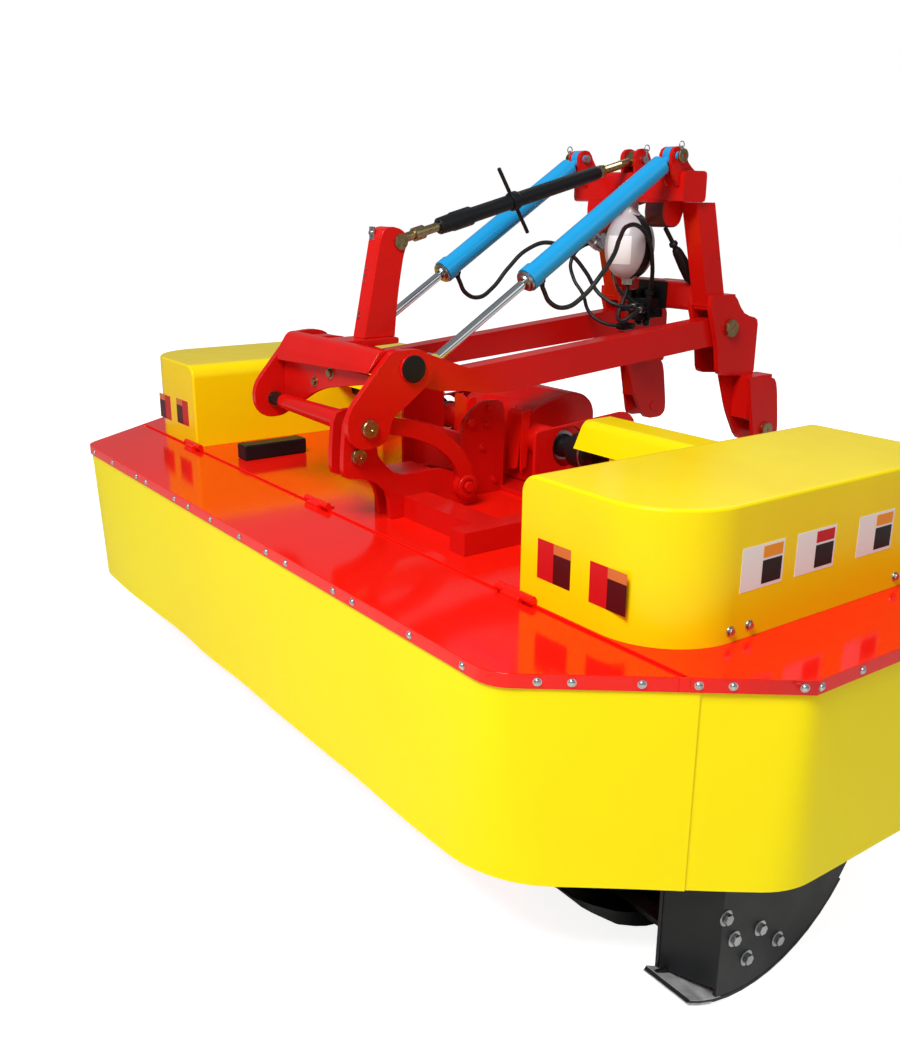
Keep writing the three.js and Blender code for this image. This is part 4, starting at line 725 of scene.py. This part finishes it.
BARE_STEEL = steel("bright_machined_steel", "B9BBBD", "8F9194", 0.3), "steel"
dress("input_flange_and_stub", "input_shaft", 1.0, BARE_STEEL, turn=40)
for hand, side in SIDES:
    dress(f"cross_drive_shaft_{hand}", f"cross_shaft_{hand}", 1.5, BLACK_STEEL, turn=40)
settle("shaft_guard_rings", [
    ring(x, SHAFT, 20, radius, wide, side) for side in (1, -1) for x, radius,
    wide in ((277, 44, 7), (398, 53.5, 5))], BARE_STEEL, turn=40)

# ------ yellow covers
# Folded and welded steel boxes over the belt drives, each with one large outer front corner, and the
# open hoods over the cross shafts. Powder-coated yellow.
YELLOW = enamel("yellow_powder_coat", "FFE606", "FADD04", 0.22, specular=0.18), "yellow_paint"
COVER_OUTER, COVER_INNER = 1296.0, 867.0
COVER_FRONT, COVER_REAR, COVER_TOP = 290.0, 1217.0, 1006.3
COVER_FOOT = 730.3


def cover_box(side):
    """A box of three-millimetre sheet with a soft top edge all round, open below."""
    low, high = side * COVER_INNER, side * COVER_OUTER
    form = plate([(low, COVER_FOOT), (low, COVER_TOP, 44), (high, COVER_TOP), (high, COVER_FOOT)],
        "Y", COVER_FRONT, COVER_REAR, edge=0, rounds=10)
    for y, radius, steps in ((COVER_FRONT, 175, 20), (COVER_REAR, 60, 10)):
        corner = [e for e in form.edges
            if all(abs(v.co.x - high) < 0.1 and abs(v.co.y - y) < 0.1 for v in e.verts)]
        soften(form, corner, radius, steps)
    below = [f for f in form.faces if all(v.co.z < COVER_FOOT + 0.1 for v in f.verts)]
    bmesh.ops.delete(form, geom=below, context="FACES_ONLY")
    ease(form, 7.0, 4)
    bmesh.ops.solidify(form, geom=form.faces[:], thickness=3.0)
    return form


for hand, side in SIDES:
    settle(f"belt_cover_{hand}", [cover_box(side)], YELLOW, stands_for=f"drive_cover_{hand}")
    hood = [(835, 902), (865, 963, 10), (879, 975, 10), (975, 975, 10), (989, 963, 10), (1019, 902),
        (1015.5, 902), (986.5, 961, 8), (974, 972, 8), (880, 972, 8), (867.5, 961, 8), (838.5, 902)]
    hood_legs = [bar(sorted((side * 560, side * 590)), sorted((927 + end * 86, 927 + end * 82)),
        (COVER_FOOT, 914), 0.5) for end in (1, -1)]
    settle(f"shaft_hood_{hand}", [plate(hood, "X", side * 426, side * 866.7, 0.0), *hood_legs], YELLOW,
        stands_for=f"shaft_cover_{hand}")
settle("cover_side_bolts", [
    bolt((side * COVER_OUTER, y, 755), (side, 0, 0), 13) for side in (1, -1)
    for y in (464, 519, 1010, 1100)], ZINC)


def sticker(name, colour):
    """Printed foil: one plain field of colour under a satin film."""
    material, place = finish_of(name, Base_Color=linear(colour), Specular_IOR_Level=0.2)
    gloss(clouds(place, 40.0, 3.0), 0.24, 0.42)
    return material


FOIL = {name: sticker(f"{name}_foil", colour) for name, colour in (
    ("white", "F2F4EE"), ("orange", "F09A22"), ("black", "121312"), ("red", "C8161B"), ("maroon", "4E0D12"),
    ("pale_orange", "D0743A"))}
FOIL_THICK = 0.5
# Fields: (across from, across to, z from, z to, colour)
COVER_SIDE_FIELDS = [field for y, warning in ((481, "orange"), (646, "red"), (850, "orange")) for field in (
    (y, y + 126, 828, 918, "white"), (y + 62, y + 120, 888, 912, warning),
    (y + 62, y + 120, 835, 883, "black"))]
COVER_FRONT_FIELDS = [field for x, z in ((926, 792), (1084, 787)) for field in (
    (x, x + 50, z, z + 86, "red"), (x + 50, x + 102, z + 64, z + 86, "pale_orange"),
    (x + 50, x + 102, z, z + 64, "maroon"))]
for colour, foil in FOIL.items():
    face = FOIL_THICK if colour == "white" else 2 * FOIL_THICK
    fields = [bar((COVER_OUTER, COVER_OUTER + face), (a, b), (c, d), 0)
        for a, b, c, d, which in COVER_SIDE_FIELDS if which == colour]
    fields += [bar(sorted((side * a, side * b)), (COVER_FRONT - FOIL_THICK, COVER_FRONT), (c, d), 0)
        for side in (1, -1) for a, b, c, d, which in COVER_FRONT_FIELDS if which == colour]
    settle(f"cover_plates_{colour}", fields, (foil, "yellow_paint"))

# ------ document box
# A black plastic box for papers that lies on the deck between the carrier and a belt cover. Two raised
# seams run round it.
dress("document_box_shell", "document_box", 5.0, BLACK, segments=3)
settle("document_box_seams", [
    bar((-651.6, -588.4), (y, y + 3), (731, 781), 1.0) for y in (356, 548)], BLACK)

# ------ ends
# Folded end plates with the leg in front, bearing hubs for the rotor, sleeves for the stands, and a
# curved wearing shoe under each.
WORN_STEEL = steel("worn_shoe_steel", "8B8C8E", "4E4F52", 0.42), "steel"
END_FACE, END_BACK = 1410.0, 1290.0
for hand, side in SIDES:
    dress(f"end_frame_{hand}", f"end_plate_{hand}", 3.0, BLACK)
    dress(f"wearing_shoe_{hand}", f"end_shoe_{hand}", 2.0, BLACK_STEEL)
    dress(f"parking_leg_{hand}", f"stand_leg_{hand}", 1.5, BARE_STEEL, f"stand_{hand}")
end_bolts = [bolt((side * END_FACE, y, z), (side, 0, 0), 21) for side in (1, -1) for y, z in (
    (386, 209), (417, 147), (462, 81), (498, 136), (560, 82), (640, 430), (820, 430), (1100, 430),
    (1180, 560))]
bearing_bolts = [bolt((side * 1428, 980 + 54 * cos(a), 350 + 54 * sin(a)), (side, 0, 0), 17)
    for side in (1, -1) for a in (pi / 4, 3 * pi / 4, -pi / 4, -3 * pi / 4)]
settle("end_plate_bolts", [*end_bolts, *bearing_bolts], BARE_STEEL)
SHOE_CENTRE, SHOE_RADIUS = (478.0, 368.0), 368.0


def on_shoe(points, near, far):
    """Strips on both shoes through (how far inside the round, degrees) points, wide from near to far."""
    rows = []
    for deep, degrees in points:
        a, reach = radians(degrees), SHOE_RADIUS - deep
        rows.append((SHOE_CENTRE[0] + reach * cos(a), SHOE_CENTRE[1] + reach * sin(a)))
    return [plate(rows, "X", side * near, side * far, 0.0) for side in (1, -1)]


lips = on_shoe([(-0.6, d) for d in (-120, -117, -114, -111, -108)] + [(4, d) for d in (-108, -114, -120)],
    END_BACK - 0.4, END_FACE + 0.4)
toe_turns = (-119.7, -116, -112, -108, -104)
toes = on_shoe([(9.4, d) for d in toe_turns] + [(10.8, d) for d in reversed(toe_turns)],
    END_BACK - 0.4, END_FACE + 0.4)
SCUFFED = steel("scuffed_toe_steel", "D4D5D6", "8E8F91", 0.5, metal=0.3), "steel"
settle("worn_shoe_lips", [*lips, *toes], SCUFFED)
toe_ribs = on_shoe([(10, -119), (10, -112), (10, -104), (30, -104), (14, -119)],
    END_BACK + 20, END_BACK + 26)
settle("shoe_toe_ribs", toe_ribs, BLACK_STEEL)
STAND_PIN_X, STAND_PIN = 1434, (1330, 600)
stand_pins = []
for side in (1, -1):
    stand_pins += [crosswise([(0, 0), (0, 6), (70, 6), (70, 0)], side * STAND_PIN_X - 35, STAND_PIN, 16),
        crosswise([(0, 0), (0, 9), (6, 9), (6, 0)], STAND_PIN_X + 35, STAND_PIN, 16, side)]
settle("stand_pins", stand_pins, ZINC)

# ------ cutterbar and discs
# A closed gear case on hardened skids carries six oval discs, each with two knives; the outer discs
# have tall conveying drums under the drive posts.
dress("gear_case_and_skids", "cutterbar", 2.0, BLACK)
DISC_PITCH, DISC_Y, DISC_TOP, KNIFE_REACH = 411.2, 510, 130.2, 170
settle("gear_case_bolts", [
    bolt(((i - 2) * DISC_PITCH + dx, y, 100), (0, 0, 1), 15) for i in range(5) for dx in (-40, 40)
    for y in (440, 600)], ZINC)
for i in range(1, 7):
    dress(f"cutting_disc_{i}", f"disc_{i}", 0.8, WORN_STEEL, f"disc_{i}", 1, turn=40)
    centre, turned_round = (i - 3.5) * DISC_PITCH, i % 2 == 0
    ends = []
    for reach in (KNIFE_REACH, -KNIFE_REACH):
        spot = (centre, DISC_Y + reach, DISC_TOP) if turned_round else (centre + reach, DISC_Y, DISC_TOP)
        ends.append(bolt(spot, (0, 0, 1), 19))
    settle(f"knife_bolts_{i}", ends, ZINC, f"disc_{i}")
for hand, side in SIDES:
    dress(f"drum_drive_{hand}", f"drive_post_{hand}", 1.0, BLACK, turn=40)

# ------ conditioner
# A tined rotor behind the discs throws the crop against a bent steel hood, which turns it to the rear.
# Two boards behind it swing in to set the width of the swath.
dress("tined_rotor", "conditioner_rotor", 1.0, WORN_STEEL, "conditioner", 1, turn=40)
dress("conditioner_cover", "conditioner_hood", 1.0, RED)
for hand, side in SIDES:
    dress(f"swath_plate_{hand}", f"swath_board_{hand}", 1.0, RED, f"swath_{hand}")

# ------ lifting arms
# Two long arms of box section swing on the pivot tube and carry the headstock at their rear eyes. Black
# plastic caps close the tube's ends.
ARM_LIFT = {1: 13.0, -1: 30.0}       # how far the lower edge runs above the bent plate's own line
ARM_FRONT, ARM_REAR, ARM_BELLY, LIFT_RUN = 600, 1640, 1110, 900
EAR_FRONT, EAR_REAR, EAR_FOOT, EAR_TOP, EAR_SLOPE = 500, 640, 1100, 1158, 0.36


def lifting_arm(hand, side):
    """The arm's own shape, its lower edge drawn in to the front, its ear trimmed round the rod's eye."""
    form = eased(f"arm_{hand}", 0)
    for vert in form.verts:
        y, z = vert.co.y, vert.co.z
        if ARM_FRONT < y < ARM_REAR and z < ARM_BELLY:
            vert.co.z += ARM_LIFT[side] * max(0.0, min(1.0, (ARM_REAR + 20 - y) / LIFT_RUN))
        if EAR_FRONT < y < EAR_REAR and z > EAR_FOOT:
            vert.co.z = min(z, EAR_TOP - (y - EAR_FRONT) * EAR_SLOPE)
    return ease(form, 5.0, 3)


for hand, side in SIDES:
    settle(f"lifting_arm_{hand}", [lifting_arm(hand, side)], RED, "lifting_arms", f"arm_{hand}")
dress("arm_pivot_tube", "pivot_tube", 1.0, RED, "lifting_arms", turn=40)
caps = [crosswise([(0, 0), (0, 35), (2.5, 35), (4.5, 32.5), (4.5, 0)], 276.1, PIVOT, 48, side)
    for side in (1, -1)]
settle("pivot_tube_rims", [
    crosswise([(0, 30), (0, 38), (4, 38), (5, 37), (5, 30)], 270.4, PIVOT, 48, side) for side in (1, -1)],
    RED, "lifting_arms", turn=40)
settle("pivot_tube_caps", caps, BLACK, "lifting_arms")

# ------ top link
# An adjustable link: a black tube with a stepped nose that turns on two threaded rods, and its handle.
# The rods end in an eye on the mast and an eye on the headstock, and are zinc-plated and passivated.
dress("top_link_eye", "top_link_front_end", 1.0, GOLD, "top_link", turn=40)
LINK_FOOT, LINK_HEAD = Vector((0, *MAST_PIN)), Vector((0, *TOP_LINK_PIN))
LINK = (LINK_HEAD - LINK_FOOT).length
link_aim = (LINK_HEAD - LINK_FOOT).normalized()
BARREL_FRONT, BARREL_REAR = 150, LINK - 160
tube_rows = [(BARREL_FRONT, 12), (BARREL_FRONT, 20), (153, 23), (196, 24.5), (200, 26.5), (262, 26.5),
    (272, 21.5), (BARREL_REAR - 12, 21.5), (BARREL_REAR, 18), (BARREL_REAR, 12)]
settle("top_link_barrel", [turned(tube_rows, LINK_FOOT, LINK_HEAD)], BLACK, "top_link", "top_link_tube",
    turn=40)
THREAD_STEP, THREAD_LENGTH = 3.2, 96
thread = [(0, 0)]
for k in range(int(THREAD_LENGTH / THREAD_STEP)):
    thread += [(k * THREAD_STEP, 12.6), (k * THREAD_STEP + 1.6, 11.2)]
thread += [(THREAD_LENGTH, 12.6), (THREAD_LENGTH, 0)]
start = LINK_FOOT + link_aim * BARREL_REAR
hex_rows = [(0, 0), (0, 19), (3, 20), (20, 20), (22, 18), (22, 0)]
settle("top_link_rear_rod", [
    turned(thread, start, LINK_HEAD, 24), turned(hex_rows, start, LINK_HEAD, 6),
    turned([(0, 0), (0, 13.4), (44, 13.4), (44, 0)], start + link_aim * 94, LINK_HEAD, 24),
    crosswise([(-20, 12.2), (-20, 25), (-17, 27.2), (17, 27.2), (20, 25), (20, 12.2), (-20, 12.2)], 0,
    TOP_LINK_PIN, 40)], GOLD, "top_link", turn=40)
handle_aim = Vector((0, 57, -90)).normalized()
middle = LINK_FOOT.lerp(LINK_HEAD, 0.46)
settle("top_link_handle", [
    turned([(0, 0), (0, 4.4), (2, 5.6), (210, 5.6), (212, 4.4), (212, 0)], middle - handle_aim * 106,
    middle, 18), turned([(-14, 22), (-14, 25), (-10, 27), (10, 27), (14, 25), (14, 22)], middle, LINK_HEAD,
    32)], BLACK, "top_link")

# ------ headstock
# The coupling frame: a top beam with lugs, two slanted posts on the rear pivots, the cross tube and
# the lower hitch brackets, with the valve block and the gas accumulator.
dress("top_cross_beam", "headstock_top_beam", 3.5, RED, "headstock", 3)
for hand, side in SIDES:
    dress(f"slanted_post_{hand}", f"headstock_post_{hand}", 3.5, RED, "headstock", 3)
dress("lower_cross_tube", "headstock_cross_tube", 5.0, RED, "headstock", 3)
settle("cross_tube_band", [bar((-42, 42), (1566.6, 1657.4), (1204.6, 1295.4), 6.0)], RED, "headstock")
frame_pins = []
for side in (1, -1):
    frame_pins += [pin_head(252.0, REAR_PIVOT, 27.6, 10.8, side),
        pin_head(300.0, HITCH_PIN, 24.6, 12.6, side), ring(245, CYLINDER_PIN, 8, 20, 4, side)]
settle("headstock_pins", frame_pins, GOLD, "headstock", turn=40)
WIRE_STEPS, WIRE_LAP = 22, 0.4


def linch_pin(x, y, z, wide):
    """A linch pin: a short peg with its sprung wire ring standing up."""
    turns = [2 * pi * k / WIRE_STEPS for k in range(WIRE_STEPS + 1)]
    loop = [Vector((x, y + wide * cos(a), z + wide + wide * sin(a))) for a in turns]
    forms = []
    for a, b in zip(loop, loop[1:]):
        end = (b - a).length + WIRE_LAP
        forms.append(turned([(-WIRE_LAP, 0), (-WIRE_LAP, 1.7), (end, 1.7), (end, 0)], a, b, 8))
    forms.append(turned([(0, 0), (0, 4), (34, 4), (34, 0)], (x, y, z - 26), (x, y, z), 12))
    return join(*forms)


linch_pins = [linch_pin(side * 243, 1380, 1690, 10) for side in (1, -1)] + [linch_pin(45, 1440, 1688, 10)]
link_pin = crosswise([(0, 0), (0, 11), (27, 11), (27, 6.8), (69, 6.8), (69, 11), (96, 11), (96, 0)], -48,
    TOP_LINK_PIN, 24)
settle("linch_pins", [*linch_pins, link_pin], ZINC, "headstock", turn=40)

# The valve: a cluster of black fittings on a bracket before the cross tube, screwed unions on its faces.
# The last bar is a black plate over the cross tube's front from x -76 to 48. It is partly the valve's
# bracket and partly painted shade on the tube beside the fittings.
valve = [bar((-58, 34), (1500, 1567), (1176, 1238), 4.0), bar((-30, 20), (1482, 1502), (1168, 1222), 3.0),
    bar((-76, -56), (1510, 1556), (1190, 1262), 3.0), bar((-76, 48), (1559, 1567.4), (1206, 1293), 2.0)]
union = [(0, 0), (0, 12), (7, 12), (7, 9), (15, 9), (15, 13), (27, 13), (27, 7), (30, 7), (30, 0)]
for place, aim in (((24, 1512, 1236), (0, 0, 1)), ((-6, 1500, 1212), (0, -1, 0)),
                   ((24, 1500, 1204), (0, -1, 0)), ((-44, 1530, 1236), (0, 0, 1)),
                   ((-10, 1540, 1236), (0, 0, 1)), ((-20, 1520, 1178), (0, -0.5, -1)),
                   ((14, 1520, 1178), (0, -0.4, -1)), ((34, 1530, 1200), (1, -0.3, -0.2)),
                   ((-70, 1520, 1200), (-1, -0.6, 0))):
    sides = 6 if place[0] in (-44, 14) else 20
    valve.append(turned(union, place, Vector(place) + Vector(aim), sides))
settle("hydraulic_valve_block", valve, BLACK, "headstock", "valve_block", turn=40)
for place, name in (((-6, 1486, 1212), "a"), ((24, 1486, 1204), "b")):
    settle(f"hose_ferrule_{name}", [turned([(-24, 8), (-24, 10), (0, 10.4), (2, 8)], place,
        Vector(place) + Vector((0, 1, 0)), 18)], ZINC, "headstock")

# Latch lever: a thin rod with a collar and a long ribbed grip.
lever_rows = [(0, 0), (0, 7), (54, 7), (58, 13), (66, 14), (72, 9), (80, 9), (84, 13), (96, 16),
    (150, 19.5), (196, 20.5), (212, 16), (217, 8), (217, 0)]
settle("latch_lever_rod", [turned(lever_rows, (142, 1440, 1463.6), (142, 1580, 1296), 28)], BLACK,
    "headstock", "latch_lever", turn=40)
latch_box = plate([(1398, 1540), (1394, 1500, 22), (1414, 1466, 24), (1472, 1466, 24), (1498, 1540)],
    "X", 92, 167.6, 3.0)
# The latch bracket is red paint like the headstock. This far darker copy of the red enamel is painted shade,
# for the shade it sits in.
SHADED_RED = enamel("shaded_red_enamel", "5A0D0E", "40090B", 0.4), "red_paint"
settle("latch_bracket", [latch_box], SHADED_RED, "headstock")

# ------ accumulator
# A gas-filled accumulator of the lift circuit: a silver steel bottle hung from the top beam on its
# neck, with a blank plate, a clamp strap and its oil port below.
SILVER = enamel("silver_paint", "D2CCCF", "C4BDC1", 0.28), "silver_paint"
TANK = (-20.0, 1452.0)
TANK_FOOT, TANK_MIDDLE, TANK_HALF, TANK_NECK, TANK_BELLY = 1300, 1404, 104, 22.0, 80.0


def tank_radius(z):
    """The bottle's radius at a height: an egg, a little fuller above its middle."""
    share = max(-1.0, min(1.0, (z - TANK_MIDDLE) / TANK_HALF))
    return max(TANK_NECK, TANK_BELLY * sqrt(max(0.0, 1 - share * share)) ** 0.85)


tank_rows = [(0, 0), (0, 22)] + [(z - TANK_FOOT, tank_radius(z)) for z in range(1302, 1510, 8)]
tank_rows += [(214, 22), (239.7, 22), (239.7, 0)]
settle("gas_accumulator", [turned(tank_rows, (*TANK, TANK_FOOT), (*TANK, TANK_FOOT + 1), 44)], SILVER,
    "headstock", "accumulator", turn=50)


def on_tank(around, z, out, off=0.0):
    """The point `out` above the bottle's skin at an angle and a height, `off` millimetres round it."""
    reach = tank_radius(z)
    turn = around + off / reach
    return TANK[0] + (reach + out) * cos(turn), TANK[1] + (reach + out) * sin(turn), z


blank = bmesh.new()
bmesh.ops.create_grid(blank, x_segments=12, y_segments=12, size=0.5)
for vert in blank.verts:
    vert.co = on_tank(radians(-72 + vert.co.x * 62), 1394 + vert.co.y * 88, 0.8)
BLANK_FOIL = sticker("blank_plate_foil", "F7F7F6"), "silver_paint"
settle("accumulator_blank_plate", [blank], BLANK_FOIL, "headstock")
strap = bmesh.new()
rings = []
for k in range(25):
    around = radians(-6 + 10 * sin(k / 24 * pi))
    rings.append([strap.verts.new(on_tank(around, 1506 - k * 8.4, out, off))
        for out, off in ((0.3, -15), (3.3, -15), (3.3, 15), (0.3, 15))])
for one, two in zip(rings, rings[1:]):
    for a, b in ((0, 1), (1, 2), (2, 3), (3, 0)):
        strap.faces.new((one[a], one[b], two[b], two[a]))
strap.faces.new(rings[0])
strap.faces.new(reversed(rings[-1]))
settle("accumulator_strap", [strap], BLACK, "headstock")
settle("accumulator_collar", [
    turned([(0, 0), (0, 20), (20, 20), (20, 0)], (*TANK, 1284), (*TANK, TANK_FOOT), 6),
    turned([(0, 0), (0, 24), (14, 24), (16, 20), (16, 0)], (*TANK, 1498), (*TANK, 1500), 6)], ZINC,
    "headstock")

# ------ lift cylinders
# Two double-acting cylinders hang from the headstock's lugs. The barrels are enamelled blue, and the
# chromed rods come out of a gland below and pull on the arms' pins.
BLUE = enamel("blue_cylinder_enamel", "1FA4E4", "1A9AD9", 0.16, specular=0.4), "blue_paint"
CHROME = steel("hard_chrome", "E9ECEF", "E2E5E8", 0.07), "chrome"
CYLINDER_X, BARREL_END = 200, 638.4
for hand, side in SIDES:
    dress(f"cylinder_barrel_{hand}", f"barrel_{hand}", 1.2, BLUE, f"cylinder_{hand}", turn=40)
    dress(f"piston_rod_{hand}", f"rod_{hand}", 0.8, CHROME, f"rod_{hand}", turn=40)
    head, foot = Vector((side * CYLINDER_X, *CYLINDER_PIN)), Vector((side * CYLINDER_X, *ROD_PIN))
    settle(f"gland_nut_{hand}", [
        turned([(BARREL_END, 13.8), (BARREL_END, 31), (646, 31), (648, 29), (648, 13.8),
        (BARREL_END, 13.8)], head, foot, 40), turned([(648, 13.8), (648, 24), (654, 22), (654, 13.8),
        (648, 13.8)], head, foot, 40)], BARE_STEEL, f"cylinder_{hand}", turn=40)
    settle(f"cylinder_pin_ends_{hand}", [
        crosswise([(33.6, 0), (33.6, 12.4), (37, 12.4), (38, 11), (38, 0)], way * side * CYLINDER_X,
        CYLINDER_PIN, 24, way) for way in (1, -1)], ZINC, f"cylinder_{hand}")
    settle(f"port_elbow_{hand}", [turned([(-6, 0), (-6, 11), (14, 11), (16, 9), (26, 9), (26, 0)],
        (side * CYLINDER_X, 898, 1340), (side * CYLINDER_X, 898, 1330), 20)], BLACK, f"cylinder_{hand}",
        turn=40)

# ------ pipes and couplers
# Two thin rubber lines and a steel pipe drop from the couplers and the beam to the valve. Two quick
# couplers stand on a small plate before the right post, and a third is parked on the cross tube.
coupler_rows = [(0, 0), (0, 13), (16, 13), (16, 17), (42, 17), (46, 13), (66, 13), (66, 10), (80, 10),
    (80, 0)]
couplers = [bar((-204, -176), (1470, 1512), (1392, 1440), 3.0)]
for shift in (0, 34):
    start = Vector((-190 + shift * 0.4, 1474, 1424 - shift))
    couplers.append(turned(coupler_rows, start, start + Vector((0, -0.86, 0.5)), 22))
settle("quick_couplers", couplers, ZINC, "headstock", turn=40)
settle("parked_coupler", [turned([(0, 0), (0, 11), (10, 11), (10, 15), (36, 15), (40, 11), (58, 11),
    (58, 0)], (-38, 1434, 1149), (20, 1452, 1153), 22)], BLACK, "headstock", turn=40)
# Lines: (name, radius, finish, points)
THIN_LINES = (
    ("fitting_pipe_a", 4.8, RUBBER, [
        (-96, 1420, 1452), (-92, 1426, 1400), (-84, 1436, 1340), (-66, 1450, 1276), (-30, 1480, 1232),
        (-10, 1500, 1214)]),
    ("fitting_pipe_b", 6.2, RUBBER, [
        (-180, 1478, 1402), (-200, 1426, 1402), (-216, 1380, 1352), (-198, 1376, 1296), (-156, 1384, 1244),
        (-140, 1398, 1190), (-84, 1418, 1155), (-30, 1436, 1150)]),
    ("fitting_pipe_c", 4.8, BARE_STEEL, [
        (-60, 1424, 1430), (-64, 1426, 1380), (-66, 1432, 1330), (-70, 1448, 1280), (-66, 1480, 1240),
        (-60, 1510, 1226)]))
for line_name, radius, finish, points in THIN_LINES:
    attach(line_piece(line_name, points, radius, finish)[0], "headstock")
